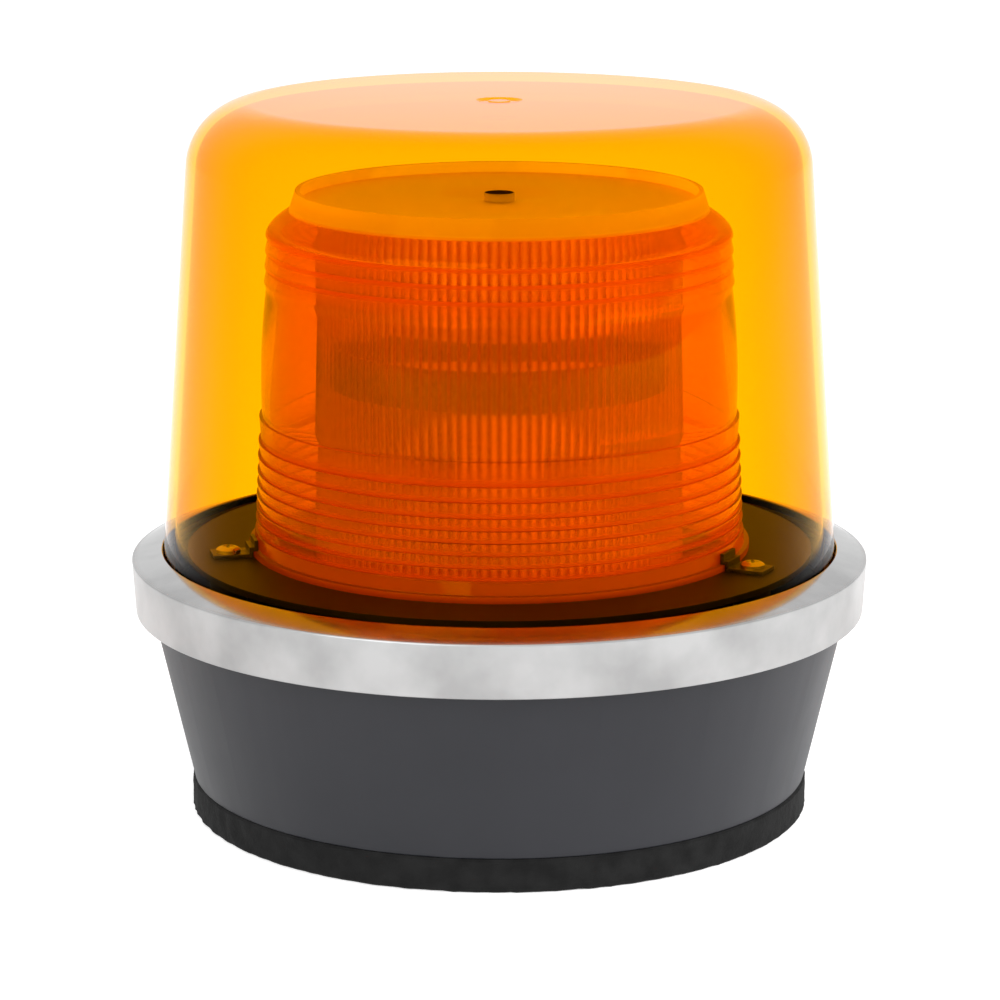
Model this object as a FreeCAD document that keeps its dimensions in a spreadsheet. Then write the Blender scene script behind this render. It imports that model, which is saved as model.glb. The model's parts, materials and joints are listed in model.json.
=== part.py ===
import FreeCAD, Part
import math
import os
import re
import Sketcher

# Rotating warning beacon. Millimetres, +Z up along the axis of rotation,
# origin at the centre of the underside of the mounting pad.

doc = FreeCAD.newDocument("rotating_beacon")
Vector = FreeCAD.Vector

# ---------------------------------------------------------------- driving sizes
dimensions = {
    # mounting pad and base
    "padLip": 0.5, "padThick": 10.0, "baseDraft": 11.75, "flangeReach": 3.65,
    "baseHeight": 51.2, "baseWall": 3.2, "floorThick": 4.0, "rimHeight": 9.8,
    "rimLedge": 6.4, "rimThick": 4.0, "boltInset": 22.3, "boltHole": 3.3,
    "boltBoss": 8.0, "boltBossRise": 3.0, "conduitRadius": 9.9, "conduitLength": 18.0,
    "conduitBoss": 15.0, "padConduitGap": 0.9,
    # clamp ring and dome
    "ringWidth": 5.75, "ringTaper": 1.0, "ringBand": 15.8, "ringCrown": 2.8,
    "ringThread": 0.2, "ringGap": 0.4, "lockScrewRadius": 2.5, "lockScrewRise": 4.6,
    "gasketThick": 1.5, "domeFlange": 3.0, "domeLean": 8.4,
    "domeRise": 132.8, "domeFillet": 19.5, "domeWall": 3.0, "seatGap": 0.2,
    # deck plate and what stands on it
    "deckRise": 18.3, "deckThick": 2.0, "deckGap": 4.0, "postMargin": 11.4,
    "deckPost": 5.5, "clipAngle": 83.0, "clipSpacing": 109.0, "clipWidth": 9.0,
    "clipThick": 1.2, "clipFoot": 10.0, "clipTip": 3.2, "screwRadius": 2.0,
    "screwHead": 3.6, "screwHeadHeight": 1.8, "screwDepth": 12.0, "screwGap": 0.05,
    # inner ringed lens
    "lensGap": 14.5, "lensLean": 4.4, "clipGap": 8.6, "lensFlange": 1.5, "flangeThick": 2.0,
    "lensWall": 3.5, "footBand": 6.0, "narrowPrism": 3.56, "widePrism": 4.5,
    "edgePrism": 7.2, "focusBand": 40.0, "upperPrism": 4.6, "prismDepth": 0.9,
    "focusBulge": 0.9, "shoulderRise": 7.2, "shoulderIn": 7.0, "discInset": 10.4,
    "lensRim": 1.5, "rimRise": 6.0, "discDrop": 3.3, "lensNub": 4.5, "nubRise": 2.2,
    # fluted sleeve
    "sleeveGap": 2.5, "sleeveWall": 2.0, "sleeveHeight": 99.0,
    # lamp and its post
    "focusRise": 60.0, "lampPost": 6.0, "postBore": 4.0, "postCollar": 10.0,
    "collarHeight": 3.0, "postTop": 28.5, "postNut": 9.0, "nutHeight": 6.0,
    "socketRadius": 9.5, "socketHeight": 13.0, "socketFloor": 1.5, "lampBase": 7.6,
    "lampBaseHeight": 16.5, "lampNeck": 6.6, "lampBulb": 12.0, "bulbLift": 2.5,
    "glassWall": 0.8, "filamentRadius": 0.8, "filamentLength": 8.0,
    # rotor: hub, gear, carrier, reflector
    "runningGap": 0.06, "thrustThick": 1.0, "endPlay": 0.1, "hubRadius": 9.0,
    "hubHeight": 17.5, "hubFlange": 13.0, "clipRingThick": 1.0, "clipRingRadius": 8.5,
    "gearModule": 0.8, "gearTeeth": 70, "pinionTeeth": 14, "gearFace": 5.0,
    "gearLift": 2.0, "toothGap": 0.16, "carrierRadius": 24.0, "carrierThick": 1.5,
    "strapWidth": 24.0, "hoopRadius": 50.0, "hoopThick": 1.5, "hoopHeight": 11.5,
    "hoopRise": 50.0, "earSetback": 8.0, "earReach": 14.0, "earPoint": 9.0,
    "gearScrewReach": 18.0, "smallScrew": 1.25, "smallHead": 2.4, "smallHeadHeight": 1.4,
    "focalLength": 20.0, "dishInset": 2.67, "dishHalfHeight": 35.5, "dishWall": 1.0,
    "dishNotch": 11.5, "notchTop": 23.5, "dishBoss": 2.6, "dishScrewInset": 12.0,
    "weightRadius": 8.0, "weightHeight": 8.0, "weightReach": 31.0, "tailWidth": 16.0,
    # motor
    "motorRadius": 16.0, "motorLength": 36.0, "motorWall": 1.2, "motorBoss": 5.0,
    "motorBossRise": 0.8, "shaftRadius": 1.5, "armatureRadius": 9.5, "magnetGap": 0.6,
    "capThick": 3.0, "brushGap": 5.0, "motorScrewPitch": 20.0,
    # terminal block, earth screw and leads
    "blockLength": 42.0, "blockWidth": 16.0, "blockHeight": 12.0, "blockReach": 45.0,
    "terminalPitch": 9.0, "terminalHead": 2.6, "earthReach": 42.0, "earthAngle": 205.0,
    "leadRadius": 0.9, "leadSpread": 1.6, "leadStub": 1.0, "leadBend": 3.0,
}

sheet = doc.addObject("Spreadsheet::Sheet", "Sizes")
for row, (alias, value) in enumerate(dimensions.items(), start=1):
    sheet.set(f"A{row}", alias)
    sheet.set(f"B{row}", str(value))
    sheet.setAlias(f"B{row}", alias)
doc.recompute()

# ------------------------------------------------ levels and radii derived from them
RING_BOTTOM = "(padThick + baseHeight)"
RIM_TOP = f"({RING_BOTTOM} + rimHeight)"
FLANGE_BOTTOM = f"({RIM_TOP} + gasketThick)"
FLANGE_TOP = f"({FLANGE_BOTTOM} + domeFlange)"
RING_TOP = f"({RING_BOTTOM} + ringBand + ringCrown)"
DOME_TOP = f"({RING_TOP} + domeRise)"
FLOOR_TOP = "(padThick + floorThick)"
DECK_TOP = f"({RING_BOTTOM} + deckRise)"
DECK_BOTTOM = f"({DECK_TOP} - deckThick)"
FOCUS = f"({DECK_TOP} + focusRise)"
POST_TOP = f"({DECK_TOP} + postTop)"
HUB_BORE = "(lampPost + runningGap)"
HUB_BOTTOM = f"({DECK_TOP} + collarHeight + thrustThick + endPlay)"
HUB_TOP = f"({HUB_BOTTOM} + hubHeight)"
GEAR_BOTTOM = f"({HUB_BOTTOM} + gearLift)"
GEAR_TOP = f"({GEAR_BOTTOM} + gearFace)"
CARRIER_TOP = f"({GEAR_TOP} + carrierThick)"
HOOP_BOTTOM = f"({DECK_TOP} + hoopRise)"
HOOP_TOP = f"({HOOP_BOTTOM} + hoopHeight)"
MOTOR_REACH = "(gearModule * (gearTeeth + pinionTeeth) / 2)"
MOTOR_BOTTOM = f"({DECK_BOTTOM} - motorLength)"
# the radii grow outward from the reflector's hoop, each by a named clearance or wall
SLEEVE_RADIUS = "(hoopRadius + sleeveGap + sleeveWall)"
LENS_TOP = f"({SLEEVE_RADIUS} + lensGap)"
LENS_FOOT = f"({LENS_TOP} + lensLean)"
LENS_DISC = f"({LENS_TOP} - discInset)"
POST_REACH = f"({LENS_FOOT} + clipGap)"
DECK_RADIUS = f"({POST_REACH} + postMargin)"
DOME_FOOT = f"({DECK_RADIUS} + deckGap + domeWall)"
DOME_SHOULDER = f"({DOME_FOOT} - domeLean)"
BASE_TOP = f"({DOME_FOOT} + flangeReach)"
BASE_FOOT = f"({BASE_TOP} - baseDraft)"
PAD_RADIUS = f"({BASE_FOOT} + padLip)"
BOLT_REACH = f"({BASE_FOOT} - boltInset)"
RIM_INNER = f"({BASE_TOP} - rimLedge)"
RING_BORE = f"({BASE_TOP} + ringThread)"
RING_RADIUS = f"({RING_BORE} + ringWidth)"
DISH_DEPTH = "((hoopRadius - dishInset) ^ 2 / (4 * focalLength))"
DISH_SCREW_REACH = "(hoopRadius - dishScrewInset)"
CLIP_ANGLES = ["(clipAngle - clipSpacing)", "clipAngle", "(clipAngle + clipSpacing)"]
GEAR_SCREW_ANGLES = [30, 150, 270]


def bound(expression):
    """Expression text with every size name pointing at the sheet."""
    return re.sub(r"[A-Za-z_]\w*",
                  lambda m: f"Sizes.{m.group()}" if m.group() in dimensions else m.group(),
                  str(expression))


def value(expression):
    """Present value of an expression of sizes."""
    result = sheet.evalExpression(str(expression))
    return float(getattr(result, "Value", result))


def place(item, x=0, y=0, z=0):
    for axis, expression in (("x", x), ("y", y), ("z", z)):
        item.setExpression(f"Placement.Base.{axis}", bound(expression))
    return item


def cylinder(label, radius, height, x=0, y=0, z=0):
    item = doc.addObject("Part::Cylinder", label)
    item.Label = label
    item.setExpression("Radius", bound(radius))
    item.setExpression("Height", bound(height))
    return place(item, x, y, z)


def lying_cylinder(label, radius, length, direction, x=0, y=0, z=0):
    """A cylinder that runs along the given horizontal direction."""
    item = cylinder(label, radius, length, x, y, z)
    item.Placement.Rotation = FreeCAD.Rotation(Vector(0, 0, 1), direction)
    return place(item, x, y, z)


def box(label, length, width, height, x, y, z):
    item = doc.addObject("Part::Box", label)
    item.Label = label
    for name, expression in (("Length", length), ("Width", width), ("Height", height)):
        item.setExpression(name, bound(expression))
    return place(item, x, y, z)


def centred_box(label, length, width, height, x, y, z):
    """A box centred on x and y that stands on z."""
    return box(label, length, width, height, f"{x} - ({length}) / 2", f"{y} - ({width}) / 2", z)


def fused(label, items):
    item = doc.addObject("Part::MultiFuse", label)
    item.Label = label
    item.Shapes = items
    return item


def cut(label, base, tools):
    item = doc.addObject("Part::Cut", label)
    item.Label = label
    item.Base = base
    item.Tool = tools[0] if len(tools) == 1 else fused(label + "_cuts", tools)
    return item


def common(label, items):
    item = doc.addObject("Part::MultiCommon", label)
    item.Label = label
    item.Shapes = items
    return item


def polar(reach, angle):
    return f"({reach}) * cos({angle})", f"({reach}) * sin({angle})"


def outline(sketch, points):
    """Closes an outline through points (x, y) or (x, y, radius of the arc that reaches it).

    A positive radius bulges to the right of the way travelled, a negative one to the left.
    """
    corners = [Vector(value(p[0]), value(p[1]), 0) for p in points]
    count = len(points)
    for i, start in enumerate(corners):
        end = corners[(i + 1) % count]
        arc = points[(i + 1) % count][2:]
        if arc:
            radius = value(arc[0])
            chord = end - start
            right = Vector(chord.y, -chord.x, 0).normalize() * math.copysign(1, radius)
            sagitta = abs(radius) - math.sqrt(radius ** 2 - (chord.Length / 2) ** 2)
            middle = (start + end) / 2 + right * sagitta
            # the sketcher keeps its arcs counter-clockwise
            ends = (start, middle, end) if radius > 0 else (end, middle, start)
            sketch.addGeometry(Part.Arc(*ends), False)
        else:
            sketch.addGeometry(Part.LineSegment(start, end), False)
    first = [1] * count
    for i, start in enumerate(corners):
        edge = sketch.Geometry[i]
        if (edge.StartPoint - start).Length > 1e-6:
            first[i] = 2
    for i in range(count):
        following = (i + 1) % count
        sketch.addConstraint(Sketcher.Constraint(
            "Coincident", i, 3 - first[i], following, first[following]))
    for i, point in enumerate(points):
        for kind, expression, number in (("DistanceX", point[0], corners[i].x),
                                         ("DistanceY", point[1], corners[i].y)):
            index = sketch.addConstraint(Sketcher.Constraint(kind, -1, 1, i, first[i], number))
            sketch.setExpression(f"Constraints[{index}]", bound(expression))
        if point[2:]:
            before = (i - 1) % count
            index = sketch.addConstraint(Sketcher.Constraint(
                "Radius", before, abs(value(point[2]))))
            sketch.setExpression(f"Constraints[{index}]", bound(f"abs({point[2]})"))


def sketched(label, role, points):
    """A body holding one sketch on the named origin plane."""
    body = doc.addObject("PartDesign::Body", label)
    body.Label = label
    sketch = body.newObject("Sketcher::SketchObject", label + "_outline")
    plane = [f for f in body.Origin.OriginFeatures if f.Role == role][0]
    sketch.AttachmentSupport = (plane, [""])
    sketch.MapMode = "FlatFace"
    outline(sketch, points)
    return body, sketch


def turned(label, points):
    """A body turned about Z from an outline of (radius, height) points."""
    body, sketch = sketched(label, "XZ_Plane", points)
    turn = body.newObject("PartDesign::Revolution", label + "_turn")
    turn.Profile = sketch
    turn.ReferenceAxis = (sketch, ["V_Axis"])
    turn.Angle = 360
    return body


def pieces_round(label, angles, make):
    """One node of several separate solids, one at each angle."""
    return fused(label, [make(f"{label}_{i + 1}", angle) for i, angle in enumerate(angles)])


def involute_gear(label, teeth_name, face, clearance):
    """A spur gear blank with involute teeth, centred on Z with one tooth on +X."""
    module = value("gearModule")
    teeth = int(value(teeth_name))
    pitch = module * teeth / 2
    base = pitch * math.cos(math.radians(20))
    tip = pitch + module * 0.95
    root = pitch - module * 1.25
    half_tooth = (math.pi * module / 2 - clearance) / 2 / pitch
    roll = math.tan(math.radians(20)) - math.radians(20)

    def flank(radius):
        if radius <= base:
            return half_tooth + roll
        angle = math.acos(base / radius)
        return half_tooth + roll - (math.tan(angle) - angle)

    steps = [max(root, min(base, tip)), (base + pitch) / 2, pitch, (pitch + tip) / 2, tip]
    steps = sorted({round(s, 6) for s in steps + [root] if s >= root})
    corners = []
    for tooth in range(teeth):
        centre = 2 * math.pi * tooth / teeth
        side = [(r, flank(r)) for r in steps]
        for r, a in side:
            corners.append(Vector(r * math.cos(centre - a), r * math.sin(centre - a), 0))
        for r, a in reversed(side):
            corners.append(Vector(r * math.cos(centre + a), r * math.sin(centre + a), 0))
    profile = Part.Face(Part.makePolygon(corners + corners[:1]))
    item = doc.addObject("Part::Feature", label)
    item.Label = label
    item.Shape = profile.extrude(Vector(0, 0, value(face)))
    return item


# ---------------------------------------------------------------- pad and base
def bolt_holes(label, bottom, height):
    return [cylinder(f"{label}_{i}", "boltHole", height, *polar(BOLT_REACH, 45 + 90 * i), bottom)
            for i in range(4)]


def make_pad():
    blank = cylinder("pad_blank", PAD_RADIUS, "padThick")
    conduit = cylinder("pad_conduit_hole", "conduitRadius + padConduitGap", "padThick")
    return cut("rubber_pad", blank, [conduit] + bolt_holes("pad_bolt_hole", 0, "padThick"))


def make_base():
    shell = turned("base_shell", [
        ("0", "padThick"),
        (BASE_FOOT, "padThick"),
        (BASE_TOP, RING_BOTTOM),
        (BASE_TOP, RIM_TOP),
        (RIM_INNER, RIM_TOP),
        (RIM_INNER, f"{RIM_TOP} - rimThick"),
        (f"{BASE_TOP} - baseWall", f"{RIM_TOP} - rimThick - rimLedge + baseWall"),
        (f"{BASE_TOP} - baseWall", RING_BOTTOM),
        (f"{BASE_FOOT} - baseWall + ({BASE_TOP} - {BASE_FOOT}) * floorThick / baseHeight", FLOOR_TOP),
        ("0", FLOOR_TOP),
    ])
    posts = [cylinder(f"deck_post_{i}", "deckPost", f"{DECK_BOTTOM} - padThick",
                      *polar(POST_REACH, angle), "padThick")
             for i, angle in enumerate(CLIP_ANGLES)]
    bosses = [cylinder(f"bolt_boss_{i}", "boltBoss", "floorThick + boltBossRise",
                       *polar(BOLT_REACH, 45 + 90 * i), "padThick") for i in range(4)]
    hub = cylinder("conduit_boss", "conduitBoss", "conduitLength", 0, 0, "padThick")
    earth = cylinder("earth_boss", "screwHead", "floorThick + boltBossRise",
                     *polar("earthReach", "earthAngle"), "padThick")
    solid = fused("base_solid", [shell] + posts + bosses + [hub, earth])
    conduit = cylinder("conduit_hole", "conduitRadius", "conduitLength", 0, 0, "padThick")
    taps = [cylinder(f"deck_post_tap_{i}", "screwRadius + screwGap", "screwDepth",
                     *polar(POST_REACH, angle), f"{DECK_BOTTOM} - screwDepth")
            for i, angle in enumerate(CLIP_ANGLES)]
    earth_tap = cylinder("earth_tap", "screwRadius + screwGap", "floorThick + boltBossRise",
                         *polar("earthReach", "earthAngle"), "padThick + floorThick / 2")
    holes = bolt_holes("base_bolt_hole", "padThick", "floorThick + boltBossRise")
    return cut("base_housing", solid, [conduit, earth_tap] + taps + holes)


# ---------------------------------------------------------------- clamp ring and dome
def make_ring():
    ring = turned("ring_blank", [
        (RING_BORE, RING_BOTTOM),
        (f"{RING_RADIUS} - ringTaper", RING_BOTTOM),
        (RING_RADIUS, f"{RING_BOTTOM} + ringBand"),
        (f"{DOME_FOOT} + ringGap", RING_TOP),
        (f"{DOME_FOOT} + ringGap", f"{FLANGE_TOP} + seatGap"),
        (RING_BORE, f"{FLANGE_TOP} + seatGap"),
    ])
    tap = lying_cylinder("lock_screw_tap", "lockScrewRadius", f"{RING_RADIUS} - {BASE_TOP}",
                         Vector(0, 1, 0), 0, BASE_TOP, f"{RING_BOTTOM} + lockScrewRise")
    return cut("clamp_ring", ring, [tap])


def make_lock_screw():
    barrel = lying_cylinder("lock_screw_barrel", "lockScrewRadius - screwGap",
                            f"{RING_RADIUS} - ringTaper - {BASE_TOP} - seatGap", Vector(0, 1, 0),
                            0, BASE_TOP, f"{RING_BOTTOM} + lockScrewRise")
    socket = lying_cylinder("lock_screw_socket", "lockScrewRadius / 2",
                            f"({RING_RADIUS} - {BASE_TOP}) / 2",
                            Vector(0, 1, 0), 0, f"({RING_RADIUS} + {BASE_TOP}) / 2",
                            f"{RING_BOTTOM} + lockScrewRise")
    return cut("ring_lock_screw", barrel, [socket])


def make_gasket():
    return turned("dome_gasket", [
        (RIM_INNER, RIM_TOP), (BASE_TOP, RIM_TOP),
        (BASE_TOP, FLANGE_BOTTOM), (RIM_INNER, FLANGE_BOTTOM)])


def make_dome():
    # the side leans in and runs tangent into the top fillet
    lean = f"atan(({DOME_FOOT} - {DOME_SHOULDER}) / ({DOME_TOP} - domeFillet - {RING_TOP}))"
    centre_r = f"({DOME_SHOULDER} - domeFillet * cos({lean}))"
    centre_z = f"({DOME_TOP} - domeFillet)"
    inner = "(domeFillet - domeWall)"
    return turned("outer_dome", [
        ("0", f"{DOME_TOP} - domeWall"),
        ("0", DOME_TOP),
        (centre_r, DOME_TOP),
        (DOME_SHOULDER, f"{centre_z} + domeFillet * sin({lean})", "-domeFillet"),
        (DOME_FOOT, RING_TOP),
        (DOME_FOOT, FLANGE_TOP),
        (BASE_TOP, FLANGE_TOP),
        (BASE_TOP, FLANGE_BOTTOM),
        (f"{DOME_FOOT} - domeWall", FLANGE_BOTTOM),
        (f"{DOME_FOOT} - domeWall", RING_TOP),
        (f"{centre_r} + {inner} * cos({lean})", f"{centre_z} + {inner} * sin({lean})"),
        (centre_r, f"{DOME_TOP} - domeWall", inner),
    ])


# ---------------------------------------------------------------- deck, clips, screws
def make_deck():
    blank = cylinder("deck_blank", DECK_RADIUS, "deckThick", 0, 0, DECK_BOTTOM)
    holes = [cylinder(f"deck_screw_hole_{i}", "screwRadius + screwGap", "deckThick",
                      *polar(POST_REACH, angle), DECK_BOTTOM)
             for i, angle in enumerate(CLIP_ANGLES)]
    holes.append(cylinder("deck_post_hole", "lampPost + screwGap", "deckThick", 0, 0, DECK_BOTTOM))
    holes.append(cylinder("deck_motor_hole", "motorBoss + screwGap", "deckThick",
                          0, MOTOR_REACH, DECK_BOTTOM))
    for side in (-1, 1):
        holes.append(cylinder(f"deck_motor_screw_hole_{side + 1}", "smallScrew + screwGap",
                              "deckThick", f"{side} * motorScrewPitch / 2", MOTOR_REACH, DECK_BOTTOM))
    return cut("deck_plate", blank, holes)


def make_lens_clips():
    foot = f"{POST_REACH} + clipFoot / 2"
    bend = f"({LENS_FOOT} + lensFlange + seatGap + clipThick)"
    tip = f"({LENS_FOOT} + seatGap)"
    hold = f"({DECK_TOP} + flangeThick)"

    def clip(label, angle):
        body, sketch = sketched(label, "XZ_Plane", [
            (bend, DECK_TOP), (foot, DECK_TOP), (foot, f"{DECK_TOP} + clipThick"),
            (bend, f"{DECK_TOP} + clipThick"), (bend, f"{hold} + clipThick"),
            (f"{tip} + clipThick", f"{hold} + clipThick"), (f"{tip} + clipThick", f"{hold} + clipTip"),
            (tip, f"{hold} + clipTip"), (tip, hold),
            (f"{bend} - clipThick", hold), (f"{bend} - clipThick", DECK_TOP)])
        pad = body.newObject("PartDesign::Pad", label + "_pad")
        pad.Profile = sketch
        pad.setExpression("Length", bound("clipWidth"))
        pad.SideType = "Symmetric"
        hole = cylinder(label + "_hole", "screwRadius + screwGap", "clipThick",
                        POST_REACH, 0, DECK_TOP)
        piece = cut(label, body, [hole])
        piece.Placement = FreeCAD.Placement(Vector(), FreeCAD.Rotation(Vector(0, 0, 1), 0))
        piece.setExpression("Placement.Rotation.Angle", bound(angle))
        return piece

    return pieces_round("lens_clips", CLIP_ANGLES, clip)


def screw(label, x, y, seat, shank, head, head_height, depth):
    """A pan-head screw whose head stands on seat and whose shank goes down by depth."""
    parts = [cylinder(label + "_head", head, head_height, x, y, seat),
             cylinder(label + "_shank", shank, depth, x, y, f"{seat} - ({depth})")]
    return fused(label, parts)


def make_deck_screws():
    return pieces_round("deck_screws", CLIP_ANGLES, lambda label, angle: screw(
        label, *polar(POST_REACH, angle), f"({DECK_TOP} + clipThick)",
        "screwRadius", "screwHead", "screwHeadHeight", "screwDepth"))


# ---------------------------------------------------------------- ringed lens and sleeve
def make_lens():
    lower = ["narrowPrism"] * 5 + ["widePrism"] * 2 + ["edgePrism"]
    upper = ["upperPrism"] * 3
    wall_height = " + ".join(["footBand", "focusBand"] + lower + upper)

    def wall(level):
        return f"({LENS_FOOT} - ({level} - {DECK_TOP}) * ({LENS_FOOT} - {LENS_TOP}) / ({wall_height}))"

    points = [(f"{LENS_FOOT} - lensWall", DECK_TOP), (f"{LENS_FOOT} + lensFlange", DECK_TOP),
              (f"{LENS_FOOT} + lensFlange", f"{DECK_TOP} + flangeThick"),
              (LENS_FOOT, f"{DECK_TOP} + flangeThick")]
    level = f"({DECK_TOP} + footBand)"
    points.append((wall(level), level))
    for prism in lower:
        points.append((f"{wall(level)} - prismDepth", level))
        level = f"({level} + {prism})"
        points.append((wall(level), level))
    belt = level
    level = f"({level} + focusBand)"
    half = "(focusBand / 2)"
    bulge = f"(({half} * {half} + focusBulge * focusBulge) / (2 * focusBulge))"
    points.append((f"{wall(belt)} - prismDepth", belt))
    points.append((f"{wall(level)} - prismDepth", level, bulge))
    for prism in upper:
        points.append((wall(level), level))
        level = f"({level} + {prism})"
        points.append((f"{wall(level)} - prismDepth", level))
    shoulder = f"({level} + shoulderRise)"
    rim = f"({shoulder} + rimRise)"
    disc = f"({rim} - discDrop)"
    points += [
        (wall(level), level),
        (f"{wall(level)} - shoulderIn", shoulder),
        (f"{LENS_DISC} + lensRim", rim),
        (LENS_DISC, rim),
        (LENS_DISC, disc),
        ("lensNub", disc),
        ("lensNub", f"{disc} + nubRise"),
        ("0", f"{disc} + nubRise"),
        ("0", f"{disc} - lensWall"),
        (f"{wall(level)} - shoulderIn - lensWall", f"{disc} - lensWall"),
        (f"{wall(level)} - lensWall", level),
    ]
    return turned("fresnel_lens", points)


def make_sleeve():
    return turned("diffuser_sleeve", [
        (f"{SLEEVE_RADIUS} - sleeveWall", DECK_TOP), (SLEEVE_RADIUS, DECK_TOP),
        (SLEEVE_RADIUS, f"{DECK_TOP} + sleeveHeight"),
        (f"{SLEEVE_RADIUS} - sleeveWall", f"{DECK_TOP} + sleeveHeight")])


# ---------------------------------------------------------------- lamp and its post
def make_lamp_post():
    return turned("lamp_post", [
        ("postBore", f"{DECK_BOTTOM} - nutHeight - screwHeadHeight"),
        ("lampPost", f"{DECK_BOTTOM} - nutHeight - screwHeadHeight"),
        ("lampPost", DECK_TOP), ("postCollar", DECK_TOP),
        ("postCollar", f"{DECK_TOP} + collarHeight"), ("lampPost", f"{DECK_TOP} + collarHeight"),
        ("lampPost", POST_TOP), ("postBore", POST_TOP)])


def make_post_nut():
    nut = doc.addObject("Part::Prism", "nut_blank")
    nut.Label = "nut_blank"
    nut.Polygon = 6
    nut.setExpression("Circumradius", bound("postNut / cos(30)"))
    nut.setExpression("Height", bound("nutHeight"))
    place(nut, 0, 0, f"{DECK_BOTTOM} - nutHeight")
    bore = cylinder("nut_bore", "lampPost", "nutHeight", 0, 0, f"{DECK_BOTTOM} - nutHeight")
    return cut("post_nut", nut, [bore])


def make_socket():
    return turned("lamp_socket", [
        ("postBore / 2", POST_TOP), ("socketRadius", POST_TOP),
        ("socketRadius", f"{POST_TOP} + socketHeight"),
        ("lampBase + screwGap", f"{POST_TOP} + socketHeight"),
        ("lampBase + screwGap", f"{POST_TOP} + socketFloor"),
        ("postBore / 2", f"{POST_TOP} + socketFloor")])


def make_lamp():
    base_bottom = f"({POST_TOP} + socketFloor)"
    base_top = f"({base_bottom} + lampBaseHeight)"
    centre = f"({FOCUS} + bulbLift)"
    neck = f"({centre} - sqrt(lampBulb * lampBulb - lampNeck * lampNeck))"
    inside = "(lampBulb - glassWall)"
    bore = "(lampNeck - glassWall)"
    neck_inside = f"({centre} - sqrt({inside} * {inside} - {bore} * {bore}))"
    shell = turned("bulb_base", [
        ("0", base_bottom), ("lampBase", base_bottom), ("lampBase", base_top), ("0", base_top)])
    lower = turned("bulb_glass", [
        (bore, base_top), ("lampNeck", base_top), ("lampNeck", neck),
        ("lampBulb", centre, "lampBulb"), ("0", f"{centre} + lampBulb", "lampBulb"),
        ("0", f"{centre} + {inside}"), (inside, centre, f"-{inside}"),
        (bore, neck_inside, f"-{inside}")])
    stem = cylinder("filament_stem", "lampBase / 3", f"{FOCUS} - 3 * filamentRadius - {base_top}",
                    0, 0, base_top)
    wire = lying_cylinder("filament_coil", "filamentRadius", "filamentLength", Vector(1, 0, 0),
                          "-filamentLength / 2", 0, FOCUS)
    legs = [cylinder(f"filament_leg_{side + 1}", "filamentRadius / 2",
                     "3 * filamentRadius", f"{side} * lampBase / 4", 0,
                     f"{FOCUS} - 3 * filamentRadius") for side in (-1, 1)]
    return [shell, lower, fused("bulb_filament", [stem, wire] + legs)]


# ---------------------------------------------------------------- rotor
def make_hub():
    return turned("rotor_hub", [
        (HUB_BORE, HUB_BOTTOM), ("hubFlange", HUB_BOTTOM), ("hubFlange", GEAR_BOTTOM),
        ("hubRadius", GEAR_BOTTOM), ("hubRadius", HUB_TOP), (HUB_BORE, HUB_TOP)])


def make_thrust_washer():
    return turned("thrust_washer", [
        ("lampPost", f"{DECK_TOP} + collarHeight"), ("postCollar", f"{DECK_TOP} + collarHeight"),
        ("postCollar", f"{DECK_TOP} + collarHeight + thrustThick"),
        ("lampPost", f"{DECK_TOP} + collarHeight + thrustThick")])


def make_retaining_ring():
    bottom = f"({HUB_TOP} + endPlay)"
    return turned("retaining_ring", [
        ("lampPost", bottom), ("clipRingRadius", bottom),
        ("clipRingRadius", f"{bottom} + clipRingThick"), ("lampPost", f"{bottom} + clipRingThick")])


def small_holes(label, bottom, height):
    return [cylinder(f"{label}_{i}", "smallScrew + screwGap", height,
                     *polar("gearScrewReach", angle), bottom)
            for i, angle in enumerate(GEAR_SCREW_ANGLES)]


def make_drive_gear():
    blank = place(involute_gear("drive_gear_blank", "gearTeeth", "gearFace", value("toothGap")),
                  0, 0, GEAR_BOTTOM)
    bore = cylinder("drive_gear_bore", "hubRadius", "gearFace", 0, 0, GEAR_BOTTOM)
    return cut("drive_gear", blank, [bore] + small_holes("drive_gear_hole", GEAR_BOTTOM, "gearFace"))


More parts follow.
